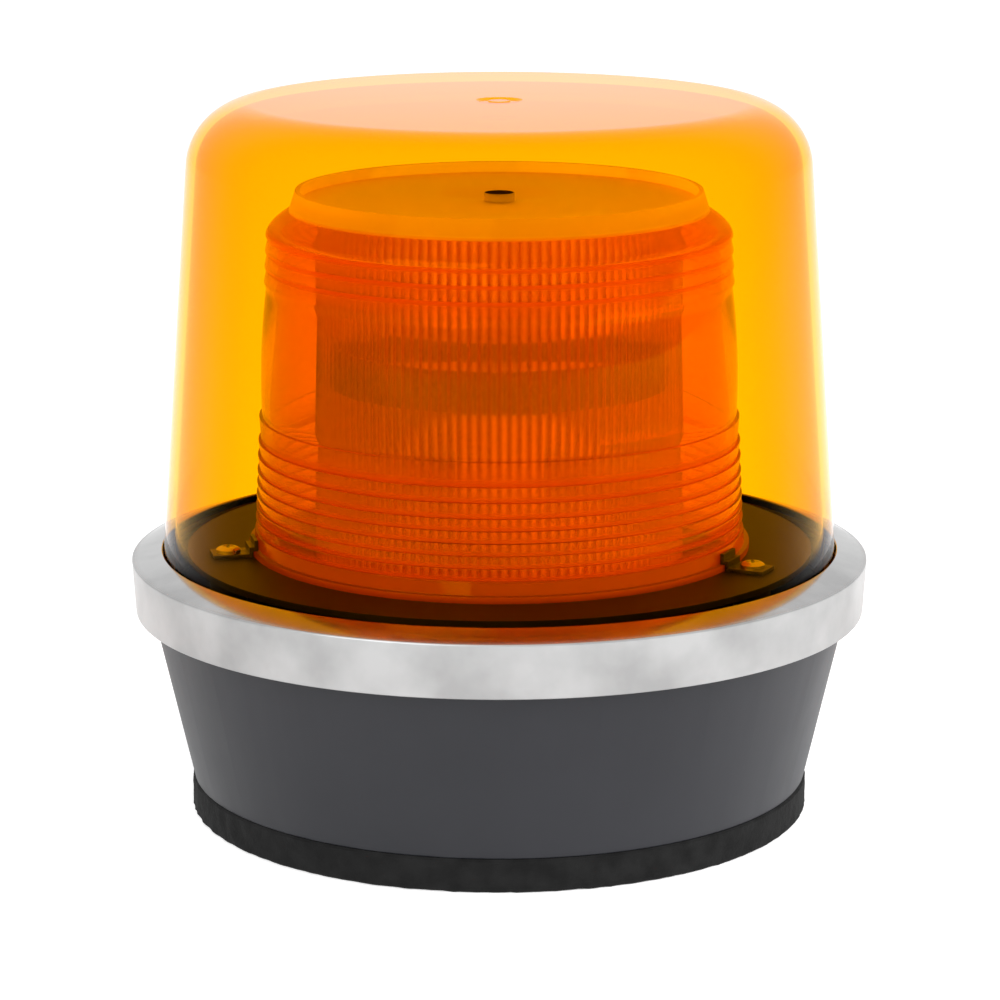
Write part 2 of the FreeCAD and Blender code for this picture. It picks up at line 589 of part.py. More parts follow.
def make_carrier():
    disc = cylinder("carrier_disc", "carrierRadius", "carrierThick", 0, 0, GEAR_TOP)
    strap = centred_box("carrier_strap", "strapWidth", "hoopRadius - hoopThick", "carrierThick",
                        0, "-(hoopRadius - hoopThick) / 2", GEAR_TOP)
    tail = centred_box("carrier_tail", "tailWidth", "weightReach + weightRadius", "carrierThick",
                       0, "(weightReach + weightRadius) / 2", GEAR_TOP)

    def hoop_shell(label, bottom, height):
        outside = cylinder(label + "_outside", "hoopRadius", height, 0, 0, bottom)
        inside = cylinder(label + "_inside", "hoopRadius - hoopThick", height, 0, 0, bottom)
        return cut(label, outside, [inside])

    riser = common("carrier_riser", [
        hoop_shell("riser_shell", GEAR_TOP, f"{HOOP_TOP} - {GEAR_TOP}"),
        centred_box("riser_width", "strapWidth", "hoopRadius", f"{HOOP_TOP} - {GEAR_TOP}",
                    0, "-hoopRadius / 2", GEAR_TOP)])
    hoop = common("carrier_hoop", [
        hoop_shell("hoop_shell", HOOP_BOTTOM, "hoopHeight"),
        centred_box("hoop_half", "2 * hoopRadius", "hoopRadius", "hoopHeight",
                    0, "-hoopRadius / 2", HOOP_BOTTOM)])
    ears = []
    root = "sqrt((hoopRadius - hoopThick) ^ 2 - earSetback ^ 2)"
    for side, word in ((-1, "left"), (1, "right")):
        body, sketch = sketched(f"carrier_ear_{word}", "XZ_Plane", [
            (f"{side} * ({root} - earReach)", HOOP_BOTTOM),
            (f"{side} * ({root} + hoopThick / 2)", HOOP_BOTTOM),
            (f"{side} * ({root} + hoopThick / 2)", HOOP_TOP),
            (f"{side} * ({root} - hoopThick)", f"{HOOP_TOP} + earPoint"),
            (f"{side} * ({root} - earReach)", HOOP_TOP)])
        sheet_metal = body.newObject("PartDesign::Pad", f"carrier_ear_{word}_pad")
        sheet_metal.Profile = sketch
        sheet_metal.setExpression("Length", bound("hoopThick"))
        ears.append(place(body, 0, "-earSetback", 0))
    solid = fused("carrier_solid", [disc, strap, tail, riser, hoop] + ears)
    holes = small_holes("carrier_hole", GEAR_TOP, "carrierThick")
    holes.append(cylinder("carrier_bore", "hubRadius", "carrierThick", 0, 0, GEAR_TOP))
    holes.append(cylinder("carrier_weight_hole", "smallScrew + screwGap", "carrierThick",
                          0, "weightReach", GEAR_TOP))
    for side in (-1, 1):
        holes.append(lying_cylinder(f"carrier_ear_hole_{side + 1}", "smallScrew + screwGap",
                                    "3 * hoopThick", Vector(0, 1, 0), f"{side} * {DISH_SCREW_REACH}",
                                    "-earSetback - 2 * hoopThick", f"({HOOP_BOTTOM} + hoopHeight / 2)"))
    return cut("reflector_carrier", solid, holes)


def make_gear_screws():
    return fused("gear_screws", [
        screw(f"gear_screw_{i}", *polar("gearScrewReach", angle), CARRIER_TOP, "smallScrew",
              "smallHead", "smallHeadHeight", "carrierThick + gearFace / 2")
        for i, angle in enumerate(GEAR_SCREW_ANGLES)])


def make_reflector():
    """A parabolic dish about a level axis with its focus at the filament, facing +Y."""
    focal = value("focalLength")
    wall_thick = value("dishWall")
    depth = value(DISH_DEPTH)
    rim = math.sqrt(4 * focal * depth)
    count = 12
    radii = [rim * i / count for i in range(count + 1)]
    inner = [Vector(r, r * r / (4 * focal) - focal, 0) for r in radii]
    outer = []
    for point in inner:
        slope = Vector(2 * focal, point.x, 0)
        normal = Vector(slope.y, -slope.x, 0).normalize()
        outer.append(point + normal * wall_thick)
    outer[0].x = 0
    inside = Part.BSplineCurve()
    inside.interpolate(inner)
    outside = Part.BSplineCurve()
    outside.interpolate(outer)
    wire = Part.Wire([Part.LineSegment(outer[0], inner[0]).toShape(), inside.toShape(),
                      Part.LineSegment(inner[-1], outer[-1]).toShape(), outside.toShape()])
    dish = Part.Face(wire).revolve(Vector(), Vector(0, 1, 0), 360)
    item = doc.addObject("Part::Feature", "dish_blank")
    item.Label = "dish_blank"
    item.Shape = dish
    place(item, 0, 0, FOCUS)
    slab = centred_box("dish_slab", "4 * hoopRadius", "4 * hoopRadius", "2 * dishHalfHeight",
                       0, 0, f"({FOCUS} - dishHalfHeight)")
    trimmed = common("dish_trimmed", [item, slab])
    level = f"({HOOP_BOTTOM} + hoopHeight / 2)"
    drop = f"(({level} - {FOCUS}) ^ 2)"
    surface = f"(({DISH_SCREW_REACH} ^ 2 + {drop}) / (4 * focalLength) - focalLength)"
    bosses = [lying_cylinder(f"dish_boss_{side + 1}", "dishBoss", f"{surface} + earSetback",
                             Vector(0, 1, 0), f"{side} * {DISH_SCREW_REACH}", "-earSetback", level)
              for side in (-1, 1)]
    inside_cut = doc.addObject("Part::Feature", "dish_inside")
    inside_cut.Label = "dish_inside"
    face = Part.Face(Part.Wire([
        inside.toShape(), Part.LineSegment(inner[-1], Vector(0, inner[-1].y, 0)).toShape(),
        Part.LineSegment(Vector(0, inner[-1].y, 0), inner[0]).toShape()]))
    inside_cut.Shape = face.revolve(Vector(), Vector(0, 1, 0), 360)
    place(inside_cut, 0, 0, FOCUS)
    solid = fused("dish_solid", [trimmed] + bosses)
    notch = cylinder("dish_socket_notch", "dishNotch", "dishHalfHeight", 0, 0,
                     f"({FOCUS} - notchTop - dishHalfHeight)")
    taps = [lying_cylinder(f"dish_tap_{side + 1}", "smallScrew + screwGap", "hoopThick * 2",
                           Vector(0, 1, 0), f"{side} * {DISH_SCREW_REACH}", "-earSetback", level)
            for side in (-1, 1)]
    return cut("reflector", solid, [inside_cut, notch] + taps)


def make_reflector_screws():
    level = f"({HOOP_BOTTOM} + hoopHeight / 2)"
    items = []
    for side, word in ((-1, "left"), (1, "right")):
        head = lying_cylinder(f"reflector_screw_head_{word}", "smallHead", "smallHeadHeight",
                              Vector(0, 1, 0), f"{side} * {DISH_SCREW_REACH}",
                              "-earSetback - hoopThick - smallHeadHeight", level)
        shank = lying_cylinder(f"reflector_screw_shank_{word}", "smallScrew", "3 * hoopThick",
                               Vector(0, 1, 0), f"{side} * {DISH_SCREW_REACH}",
                               "-earSetback - hoopThick", level)
        items.append(fused(f"reflector_screw_{word}", [head, shank]))
    return fused("reflector_screws", items)


def make_counterweight():
    weight = cylinder("weight_blank", "weightRadius", "weightHeight", 0, "weightReach", CARRIER_TOP)
    hole = cylinder("weight_hole", "smallScrew + screwGap", "weightHeight", 0, "weightReach",
                    CARRIER_TOP)
    return cut("counterweight", weight, [hole])


def make_weight_screw():
    return screw("weight_screw", 0, "weightReach", f"({CARRIER_TOP} + weightHeight)", "smallScrew",
                 "smallHead", "smallHeadHeight", "weightHeight + carrierThick")


# ---------------------------------------------------------------- motor
def at_motor(item):
    return place(item, 0, MOTOR_REACH, 0)


def make_motor_can():
    tap_depth = "motorWall * 2"
    can = at_motor(turned("can_blank", [
        ("shaftRadius + runningGap", f"{DECK_TOP} + motorBossRise"),
        ("shaftRadius + runningGap", f"{DECK_BOTTOM} - {tap_depth}"),
        ("motorRadius - motorWall", f"{DECK_BOTTOM} - {tap_depth}"),
        ("motorRadius - motorWall", MOTOR_BOTTOM),
        ("motorRadius", MOTOR_BOTTOM), ("motorRadius", DECK_BOTTOM),
        ("motorBoss", DECK_BOTTOM), ("motorBoss", f"{DECK_TOP} + motorBossRise")]))
    taps = [cylinder(f"can_tap_{side + 1}", "smallScrew + screwGap", tap_depth,
                     f"{side} * motorScrewPitch / 2", MOTOR_REACH, f"{DECK_BOTTOM} - {tap_depth}")
            for side in (-1, 1)]
    return cut("motor_can", can, taps)


def make_motor_cap():
    return at_motor(turned("motor_end_cap", [
        ("0", f"{MOTOR_BOTTOM} - capThick"), ("motorRadius - motorWall", f"{MOTOR_BOTTOM} - capThick"),
        ("motorRadius - motorWall", f"{MOTOR_BOTTOM} + capThick"),
        ("shaftRadius + runningGap", f"{MOTOR_BOTTOM} + capThick"),
        ("shaftRadius + runningGap", MOTOR_BOTTOM), ("0", MOTOR_BOTTOM)]))


def make_magnets():
    bottom = f"({MOTOR_BOTTOM} + capThick + brushGap)"
    ring = at_motor(turned("magnet_ring", [
        ("armatureRadius + magnetGap", bottom), ("motorRadius - motorWall", bottom),
        ("motorRadius - motorWall", f"{DECK_BOTTOM} - brushGap"),
        ("armatureRadius + magnetGap", f"{DECK_BOTTOM} - brushGap")]))
    gap = centred_box("magnet_split", "armatureRadius", "4 * motorRadius", "motorLength",
                      0, MOTOR_REACH, MOTOR_BOTTOM)
    return cut("motor_magnets", ring, [gap])


def make_armature():
    bottom = f"({MOTOR_BOTTOM} + capThick + brushGap)"
    return at_motor(turned("motor_armature", [
        ("shaftRadius", bottom), ("armatureRadius", bottom),
        ("armatureRadius", f"{DECK_BOTTOM} - brushGap"), ("shaftRadius", f"{DECK_BOTTOM} - brushGap")]))


def make_shaft():
    start = f"({MOTOR_BOTTOM} + endPlay)"
    return cylinder("motor_shaft", "shaftRadius", f"{GEAR_TOP} - {start} - seatGap",
                    0, MOTOR_REACH, start)


def make_pinion():
    blank = involute_gear("pinion_blank", "pinionTeeth", "gearFace - 2 * seatGap", value("toothGap"))
    blank.Placement.Rotation = FreeCAD.Rotation(Vector(0, 0, 1), meshing_angle())
    place(blank, 0, MOTOR_REACH, f"{GEAR_BOTTOM} + seatGap")
    bore = cylinder("pinion_bore", "shaftRadius", "gearFace", 0, MOTOR_REACH, GEAR_BOTTOM)
    return cut("motor_pinion", blank, [bore])


def meshing_angle():
    """Turn of the pinion that puts one of its gaps on the gear's tooth at +Y."""
    gear_pitch = 360 / value("gearTeeth")
    pinion_pitch = 360 / value("pinionTeeth")
    # where +Y falls between the gear's teeth, in pitches
    gear_phase = (90 / gear_pitch) % 1
    # the pinion meets the gear at its own -Y side and turns the other way
    return 270 + (0.5 + gear_phase) * pinion_pitch


def make_motor_screws():
    return fused("motor_screws", [
        screw(f"motor_screw_{side + 1}", f"{side} * motorScrewPitch / 2", MOTOR_REACH, DECK_TOP,
              "smallScrew", "smallHead", "smallHeadHeight", "deckThick + motorWall")
        for side in (-1, 1)])


# ---------------------------------------------------------------- wiring
def terminal_x(index):
    return f"({index - 1.5} * terminalPitch)"


def make_terminals():
    block = centred_box("block_blank", "blockLength", "blockWidth", "blockHeight",
                        0, "-blockReach", FLOOR_TOP)
    wells = [cylinder(f"block_well_{i}", "terminalHead + 4 * screwGap", "blockHeight / 2",
                      terminal_x(i), "-blockReach", f"({FLOOR_TOP} + blockHeight / 2)")
             for i in range(4)]
    fixing = [cylinder(f"block_fixing_{side + 1}", "smallScrew + screwGap", "blockHeight",
                       f"{side} * (blockLength / 2 - 2 * smallHead + smallScrew)", "-blockReach",
                       FLOOR_TOP) for side in (-1, 1)]
    body = cut("terminal_block", block, wells + fixing)
    heads = fused("terminal_screws", [
        cylinder(f"terminal_screw_{i}", "terminalHead", "blockHeight / 4", terminal_x(i),
                 "-blockReach", f"({FLOOR_TOP} + blockHeight / 2)") for i in range(4)])
    rivets = fused("block_screws", [
        screw(f"block_screw_{side + 1}", f"{side} * (blockLength / 2 - 2 * smallHead + smallScrew)",
              "-blockReach", f"({FLOOR_TOP} + blockHeight)", "smallScrew", "smallHead",
              "smallHeadHeight", "blockHeight") for side in (-1, 1)])
    return [body, heads, rivets]


def make_earth_screw():
    return screw("earth_screw", *polar("earthReach", "earthAngle"),
                 f"({FLOOR_TOP} + boltBossRise)", "screwRadius", "screwHead", "screwHeadHeight",
                 "floorThick")


def lead(label, points):
    """A round lead along straight runs joined by tangent arcs."""
    corners = [Vector(*[value(c) for c in p]) for p in points]
    bend = value("leadBend")
    edges = []
    here = corners[0]
    for before, corner, after in zip(corners, corners[1:], corners[2:]):
        into = (before - corner).normalize()
        out = (after - corner).normalize()
        half = into.getAngle(out) / 2
        reach = bend / math.tan(half)
        start = corner + into * reach
        end = corner + out * reach
        middle = corner + (into + out).normalize() * (bend / math.sin(half) - bend)
        edges += [Part.LineSegment(here, start).toShape(), Part.Arc(start, middle, end).toShape()]
        here = end
    edges.append(Part.LineSegment(here, corners[-1]).toShape())
    path = Part.Wire(edges)
    section = Part.Wire(Part.Circle(corners[0], corners[1] - corners[0], value("leadRadius")).toShape())
    item = doc.addObject("Part::Feature", label)
    item.Label = label
    item.Shape = path.makePipeShell([section], True, False)
    return item


def make_leads():
    arrive = f"({FLOOR_TOP} + blockHeight * 0.75 + seatGap)"
    over = f"({MOTOR_BOTTOM} - capThick - leadStub - leadBend)"
    lamp = [lead(f"lamp_lead_{side + 1}", [
        (f"{side} * leadSpread", 0, f"{POST_TOP} - seatGap"),
        (f"{side} * leadSpread", 0, f"({over} + 3 * leadBend)"),
        (terminal_x(1.5 + side / 2), "-blockReach", f"({over} + 3 * leadBend)"),
        (terminal_x(1.5 + side / 2), "-blockReach", arrive)]) for side in (-1, 1)]
    motor = [lead(f"motor_lead_{side + 1}", [
        (f"{side} * motorRadius / 2", MOTOR_REACH, f"{MOTOR_BOTTOM} - capThick"),
        (f"{side} * motorRadius / 2", MOTOR_REACH, over),
        (terminal_x(1.5 + side * 1.5), "-blockReach", over),
        (terminal_x(1.5 + side * 1.5), "-blockReach", arrive)]) for side in (-1, 1)]
    return [fused("lamp_leads", lamp), fused("motor_leads", motor)]


pieces = [
    make_pad(), make_base(), make_ring(), make_lock_screw(), make_gasket(), make_dome(),
    make_deck(), make_lens_clips(), make_deck_screws(), make_lens(), make_sleeve(),
    make_lamp_post(), make_post_nut(), make_socket(), *make_lamp(),
    make_hub(), make_thrust_washer(), make_retaining_ring(), make_drive_gear(), make_carrier(),
    make_gear_screws(), make_reflector(), make_reflector_screws(), make_counterweight(),
    make_weight_screw(), make_motor_can(), make_motor_cap(), make_magnets(), make_armature(),
    make_shaft(), make_pinion(), make_motor_screws(), *make_terminals(), make_earth_screw(),
    *make_leads(),
]
doc.recompute()

# ---------------------------------------------------------------- check and write
for item in doc.Objects:
    if "Invalid" in item.State or "Error" in item.State:
        raise RuntimeError(f"{item.Label} failed: {item.State}")
os.makedirs("parts", exist_ok=True)
for piece in pieces:
    shape = piece.Shape
    if shape.isNull() or not shape.isValid():
        raise RuntimeError(f"{piece.Label} has no valid shape")
    if not shape.Solids:
        raise RuntimeError(f"{piece.Label} has no solid")
    shape.exportStep(f"parts/{piece.Label}.step")
    print(f"{piece.Label}: {len(shape.Solids)} solid(s), {shape.Volume:.1f} mm3")
print(f"{len(pieces)} nodes written")
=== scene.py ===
import json
import math

import bpy
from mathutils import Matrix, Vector


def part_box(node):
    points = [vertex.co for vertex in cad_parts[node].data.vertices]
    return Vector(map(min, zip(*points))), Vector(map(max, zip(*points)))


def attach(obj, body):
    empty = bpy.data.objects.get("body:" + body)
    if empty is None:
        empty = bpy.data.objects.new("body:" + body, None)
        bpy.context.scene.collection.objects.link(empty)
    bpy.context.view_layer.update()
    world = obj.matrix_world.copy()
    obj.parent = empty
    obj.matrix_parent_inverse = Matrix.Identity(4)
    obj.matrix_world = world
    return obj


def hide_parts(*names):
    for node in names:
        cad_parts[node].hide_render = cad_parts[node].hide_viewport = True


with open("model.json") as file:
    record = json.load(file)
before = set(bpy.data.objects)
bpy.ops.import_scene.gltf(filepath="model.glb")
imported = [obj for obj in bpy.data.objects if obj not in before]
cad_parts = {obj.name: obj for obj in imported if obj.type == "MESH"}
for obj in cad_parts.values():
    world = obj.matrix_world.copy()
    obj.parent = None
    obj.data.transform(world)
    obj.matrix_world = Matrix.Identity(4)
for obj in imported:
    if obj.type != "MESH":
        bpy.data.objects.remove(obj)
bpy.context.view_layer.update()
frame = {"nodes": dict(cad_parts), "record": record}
nodes = frame["nodes"]
mm = 0.001


# a node's lowest height in mm
def footOf(node):
    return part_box(node)[0].z / mm


def deselectAll():
    if bpy.context.object and bpy.context.object.mode != "OBJECT":
        bpy.ops.object.mode_set(mode="OBJECT")
    bpy.ops.object.select_all(action="DESELECT")


def pick(piece):
    deselectAll()
    piece.select_set(True)
    bpy.context.view_layer.objects.active = piece


def applyModifiers(piece):
    pick(piece)
    for modifier in list(piece.modifiers):
        bpy.ops.object.modifier_apply(modifier=modifier.name)


def smooth(piece, degrees=30):
    pick(piece)
    bpy.ops.object.shade_smooth_by_angle(angle=math.radians(degrees))


def freeze(piece):
    pick(piece)
    bpy.ops.object.transform_apply(location=True, rotation=True, scale=True)


# camera
cameraView = {"back": 1105.0, "height": 345.4, "pitch": 0.225, "lens": 136.15, "shiftX": 0.0007}
bpy.ops.object.camera_add(
    location=(0, -cameraView["back"] * mm, cameraView["height"] * mm),
    rotation=(math.pi / 2 - cameraView["pitch"], 0, 0))
camera = bpy.context.object
camera.name = "camera"
camera.data.lens = cameraView["lens"]
camera.data.sensor_width = 36
camera.data.shift_x = cameraView["shiftX"]
bpy.context.scene.camera = camera
bpy.context.scene.view_settings.view_transform = "Standard"
print("camera placed")


# materials
def newMaterial(name):
    material = bpy.data.materials.new(name)
    material.use_nodes = True
    tree = material.node_tree
    tree.nodes.clear()
    out = tree.nodes.new("ShaderNodeOutputMaterial")
    return material, tree, out


# noise on the piece's own coordinates, scale in cycles per metre
def objectNoise(tree, scale, detail=3.0, roughness=0.5, stretch=(1, 1, 1)):
    coords = tree.nodes.new("ShaderNodeTexCoord")
    mapping = tree.nodes.new("ShaderNodeMapping")
    mapping.inputs["Scale"].default_value = stretch
    noise = tree.nodes.new("ShaderNodeTexNoise")
    noise.inputs["Scale"].default_value = scale
    noise.inputs["Detail"].default_value = detail
    noise.inputs["Roughness"].default_value = roughness
    tree.links.new(coords.outputs["Object"], mapping.inputs["Vector"])
    tree.links.new(mapping.outputs["Vector"], noise.inputs["Vector"])
    return noise.outputs["Fac"]


# 0 below start and 1 above end, in mm along X, Y, Z or out from the axis (R)
def zone(tree, axis, start, end):
    coords = tree.nodes.new("ShaderNodeTexCoord")
    ramp = tree.nodes.new("ShaderNodeMapRange")
    ramp.inputs["From Min"].default_value = start * mm
    ramp.inputs["From Max"].default_value = end * mm
    if axis == "R":
        flat = tree.nodes.new("ShaderNodeVectorMath")
        flat.operation = "MULTIPLY"
        flat.inputs[1].default_value = (1, 1, 0)
        length = tree.nodes.new("ShaderNodeVectorMath")
        length.operation = "LENGTH"
        tree.links.new(coords.outputs["Object"], flat.inputs[0])
        tree.links.new(flat.outputs[0], length.inputs[0])
        tree.links.new(length.outputs["Value"], ramp.inputs["Value"])
    else:
        parts = tree.nodes.new("ShaderNodeSeparateXYZ")
        tree.links.new(coords.outputs["Object"], parts.inputs[0])
        tree.links.new(parts.outputs[axis], ramp.inputs["Value"])
    return ramp.outputs["Result"]


# colour first where the share is 0 and second where it is 1
def byZone(tree, share, first, second):
    mix = tree.nodes.new("ShaderNodeMix")
    mix.data_type = "RGBA"
    for socket, colour in (("A", first), ("B", second)):
        if isinstance(colour, tuple):
            mix.inputs[socket].default_value = (*colour, 1)
        else:
            tree.links.new(colour, mix.inputs[socket])
    tree.links.new(share, mix.inputs["Factor"])
    return mix.outputs["Result"]


# the middle of a noise's range stretched between two values
def spread(tree, source, low, high):
    ramp = tree.nodes.new("ShaderNodeMapRange")
    ramp.inputs["From Min"].default_value = 0.3
    ramp.inputs["From Max"].default_value = 0.7
    ramp.inputs["To Min"].default_value = low
    ramp.inputs["To Max"].default_value = high
    tree.links.new(source, ramp.inputs["Value"])
    return ramp.outputs["Result"]


def blendColours(tree, source, dark, light):
    ramp = tree.nodes.new("ShaderNodeValToRGB")
    ramp.color_ramp.elements[0].position = 0.35
    ramp.color_ramp.elements[0].color = (*dark, 1)
    ramp.color_ramp.elements[1].position = 0.65
    ramp.color_ramp.elements[1].color = (*light, 1)
    tree.links.new(source, ramp.inputs["Fac"])
    return ramp.outputs["Color"]


def addBump(tree, source, depth, shader, strength=0.5):
    bump = tree.nodes.new("ShaderNodeBump")
    bump.inputs["Strength"].default_value = strength
    bump.inputs["Distance"].default_value = depth * mm
    tree.links.new(source, bump.inputs["Height"])
    tree.links.new(bump.outputs["Normal"], shader.inputs["Normal"])


# opaque finish with mottled colour, varied gloss and a fine surface grain
def solidFinish(name, dark, light, rough, metallic=0.0, grain=400, mottle=60, depth=0.02,
                strength=0.4, stretch=(1, 1, 1), specular=0.5, coat=0.0):
    material, tree, out = newMaterial(name)
    shader = tree.nodes.new("ShaderNodeBsdfPrincipled")
    shader.inputs["Metallic"].default_value = metallic
    shader.inputs["Specular IOR Level"].default_value = specular
    shader.inputs["Coat Weight"].default_value = coat
    patch = objectNoise(tree, mottle, 4.0)
    fine = objectNoise(tree, grain, 5.0, 0.6, stretch)
    tree.links.new(blendColours(tree, patch, dark, light), shader.inputs["Base Color"])
    tree.links.new(spread(tree, patch, rough[0], rough[1]), shader.inputs["Roughness"])
    addBump(tree, fine, depth, shader, strength)
    tree.links.new(shader.outputs["BSDF"], out.inputs["Surface"])
    return material


# one node's two finishes, such as a painted plate with a bare middle
def splitFinish(name, first, second, axis, start, end, backAt=None, specular=0.5):
    material, tree, out = newMaterial(name)
    shader = tree.nodes.new("ShaderNodeBsdfPrincipled")
    shader.inputs["Specular IOR Level"].default_value = specular
    share = zone(tree, axis, start, end)
    if backAt:
        back = tree.nodes.new("ShaderNodeMath")
        back.operation = "SUBTRACT"
        tree.links.new(share, back.inputs[0])
        tree.links.new(zone(tree, axis, backAt, backAt + end - start), back.inputs[1])
        share = back.outputs[0]
    patch = objectNoise(tree, first.get("mottle", 60), 4.0)
    colours = [blendColours(tree, patch, part["dark"], part["light"]) for part in (first, second)]
    tree.links.new(byZone(tree, share, *colours), shader.inputs["Base Color"])
    for socket, key in (("Roughness", "rough"), ("Metallic", "metallic")):
        level = tree.nodes.new("ShaderNodeMapRange")
        level.inputs["To Min"].default_value = first[key]
        level.inputs["To Max"].default_value = second[key]
        tree.links.new(share, level.inputs["Value"])
        tree.links.new(level.outputs["Result"], shader.inputs[socket])
    addBump(tree, objectNoise(tree, 600, 5.0, 0.6), 0.015, shader, 0.4)
    tree.links.new(shader.outputs["BSDF"], out.inputs["Surface"])
    return material


# 0 face on to 1 edge on, the same from both faces of a wall
def grazing(tree, steepness):
    facing = tree.nodes.new("ShaderNodeLayerWeight")
    facing.inputs["Blend"].default_value = 0.5
    power = tree.nodes.new("ShaderNodeMath")
    power.operation = "POWER"
    power.inputs[1].default_value = steepness
    tree.links.new(facing.outputs["Facing"], power.inputs[0])
    return power.outputs[0]


# thin clear wall: the view goes straight through, tinted at each face, under a glossy skin
def clearShell(name, tint, edgeTint, gloss, steepness):
    material, tree, out = newMaterial(name)
    depth = tree.nodes.new("ShaderNodeMix")
    depth.data_type = "RGBA"
    depth.inputs["A"].default_value = (*tint, 1)
    depth.inputs["B"].default_value = (*edgeTint, 1)
    through = tree.nodes.new("ShaderNodeBsdfTransparent")
    skin = tree.nodes.new("ShaderNodeBsdfGlossy")
    skin.inputs["Color"].default_value = (1, 1, 1, 1)
    skin.inputs["Roughness"].default_value = gloss
    whole = tree.nodes.new("ShaderNodeMixShader")
    addBump(tree, objectNoise(tree, 35, 1.0), 0.05, skin, 0.15)
    tree.links.new(grazing(tree, 3), depth.inputs["Factor"])
    tree.links.new(depth.outputs["Result"], through.inputs["Color"])
    tree.links.new(grazing(tree, steepness), whole.inputs["Fac"])
    tree.links.new(through.outputs[0], whole.inputs[1])
    tree.links.new(skin.outputs[0], whole.inputs[2])
    tree.links.new(whole.outputs[0], out.inputs["Surface"])
    return material


# clear plastic or glass that bends the view and lets lamps through with a tint
def bentClear(name, tint, rough, grain=60, depth=0.02):
    material, tree, out = newMaterial(name)
    shader = tree.nodes.new("ShaderNodeBsdfPrincipled")
    shader.inputs["Base Color"].default_value = (*tint, 1)
    shader.inputs["IOR"].default_value = 1.49
    shader.inputs["Transmission Weight"].default_value = 1
    tree.links.new(spread(tree, objectNoise(tree, grain, 2.0), rough[0], rough[1]),
                   shader.inputs["Roughness"])
    addBump(tree, objectNoise(tree, grain, 2.0), depth, shader, 0.3)
    lampPath = tree.nodes.new("ShaderNodeLightPath")
    through = tree.nodes.new("ShaderNodeBsdfTransparent")
    through.inputs["Color"].default_value = (*[c ** 0.5 for c in tint], 1)
    whole = tree.nodes.new("ShaderNodeMixShader")
    tree.links.new(lampPath.outputs["Is Shadow Ray"], whole.inputs["Fac"])
    tree.links.new(shader.outputs[0], whole.inputs[1])
    tree.links.new(through.outputs[0], whole.inputs[2])
    tree.links.new(whole.outputs[0], out.inputs["Surface"])
    return material, tree, shader, whole


# scattering inside the plastic, of one colour or a pattern's
def addMilk(tree, shader, whole, colour, share, back=0.0):
    onward = tree.nodes.new("ShaderNodeBsdfTranslucent")
    thrown = tree.nodes.new("ShaderNodeBsdfDiffuse")
    scatter = tree.nodes.new("ShaderNodeMixShader")
    scatter.inputs["Fac"].default_value = back
    body = tree.nodes.new("ShaderNodeMixShader")
    for i, part in enumerate((onward, thrown)):
        if isinstance(colour, tuple):
            part.inputs["Color"].default_value = (*colour, 1)
        else:
            tree.links.new(colour, part.inputs["Color"])
        tree.links.new(part.outputs[0], scatter.inputs[i + 1])
    if isinstance(share, float):
        body.inputs["Fac"].default_value = share
    else:
        tree.links.new(share, body.inputs["Fac"])
    tree.links.new(shader.outputs[0], body.inputs[1])
    tree.links.new(scatter.outputs[0], body.inputs[2])
    tree.links.new(body.outputs[0], whole.inputs[1])


# a share that steps through (height in mm, value) stops up the axis
def ringRamp(tree, low, high, stops):
    ramp = tree.nodes.new("ShaderNodeValToRGB")
    tree.links.new(zone(tree, "Z", low, high), ramp.inputs["Fac"])
    marks = ramp.color_ramp.elements
    for i, (level, share) in enumerate(stops):
        at = (level - low) / (high - low)
        mark = marks[i] if i < 2 else marks.new(at)
        mark.position = at
        mark.color = (share, share, share, 1)
    return ramp.outputs["Color"]


# 0 in the valleys and 1 on the ridges of flutes round the axis
def fluteWave(tree, count):
    coords = tree.nodes.new("ShaderNodeTexCoord")
    parts = tree.nodes.new("ShaderNodeSeparateXYZ")
    turn = tree.nodes.new("ShaderNodeMath")
    turn.operation = "ARCTAN2"
    times = tree.nodes.new("ShaderNodeMath")
    times.operation = "MULTIPLY"
    times.inputs[1].default_value = count
    wave = tree.nodes.new("ShaderNodeMath")
    wave.operation = "COSINE"
    level = tree.nodes.new("ShaderNodeMapRange")
    level.inputs["From Min"].default_value = -1
    tree.links.new(coords.outputs["Object"], parts.inputs[0])
    tree.links.new(parts.outputs["Y"], turn.inputs[0])
    tree.links.new(parts.outputs["X"], turn.inputs[1])
    tree.links.new(turn.outputs[0], times.inputs[0])
    tree.links.new(times.outputs[0], wave.inputs[0])
    tree.links.new(wave.outputs[0], level.inputs["Value"])
    return level.outputs["Result"]


amberDome = clearShell("amberDome", (1.0, 0.78, 0.08), (1.0, 0.60, 0.06), 0.03, 7.5)
lampGlass = bentClear("lampGlass", (0.98, 0.98, 0.98), (0.0, 0.02))[0]
lensShape = {"foot": 73.4, "top": 69.0, "flange": 1.5, "flangeThick": 2.0, "wall": 3.5, "band": 6.0,
             "lower": (3.56, 3.56, 3.56, 3.56, 3.56, 4.5, 4.5, 7.2), "belt": 40.0,
             "upper": (4.6, 4.6, 4.6), "depth": 0.9, "bulge": 0.9, "shoulderRise": 7.2,
             "shoulderIn": 7.0, "disc": 58.6, "rim": 1.5, "rimRise": 6.0, "drop": 3.3,
             "nub": 4.5, "nubRise": 2.2, "lip": 0.05, "ease": 0.25, "beltSteps": 12,
             "shoulderSteps": 6, "shoulderCurve": 1.8}
sleeveShape = {"flutes": 120, "ridge": 54.45, "valley": 53.45, "wall": 1.0}


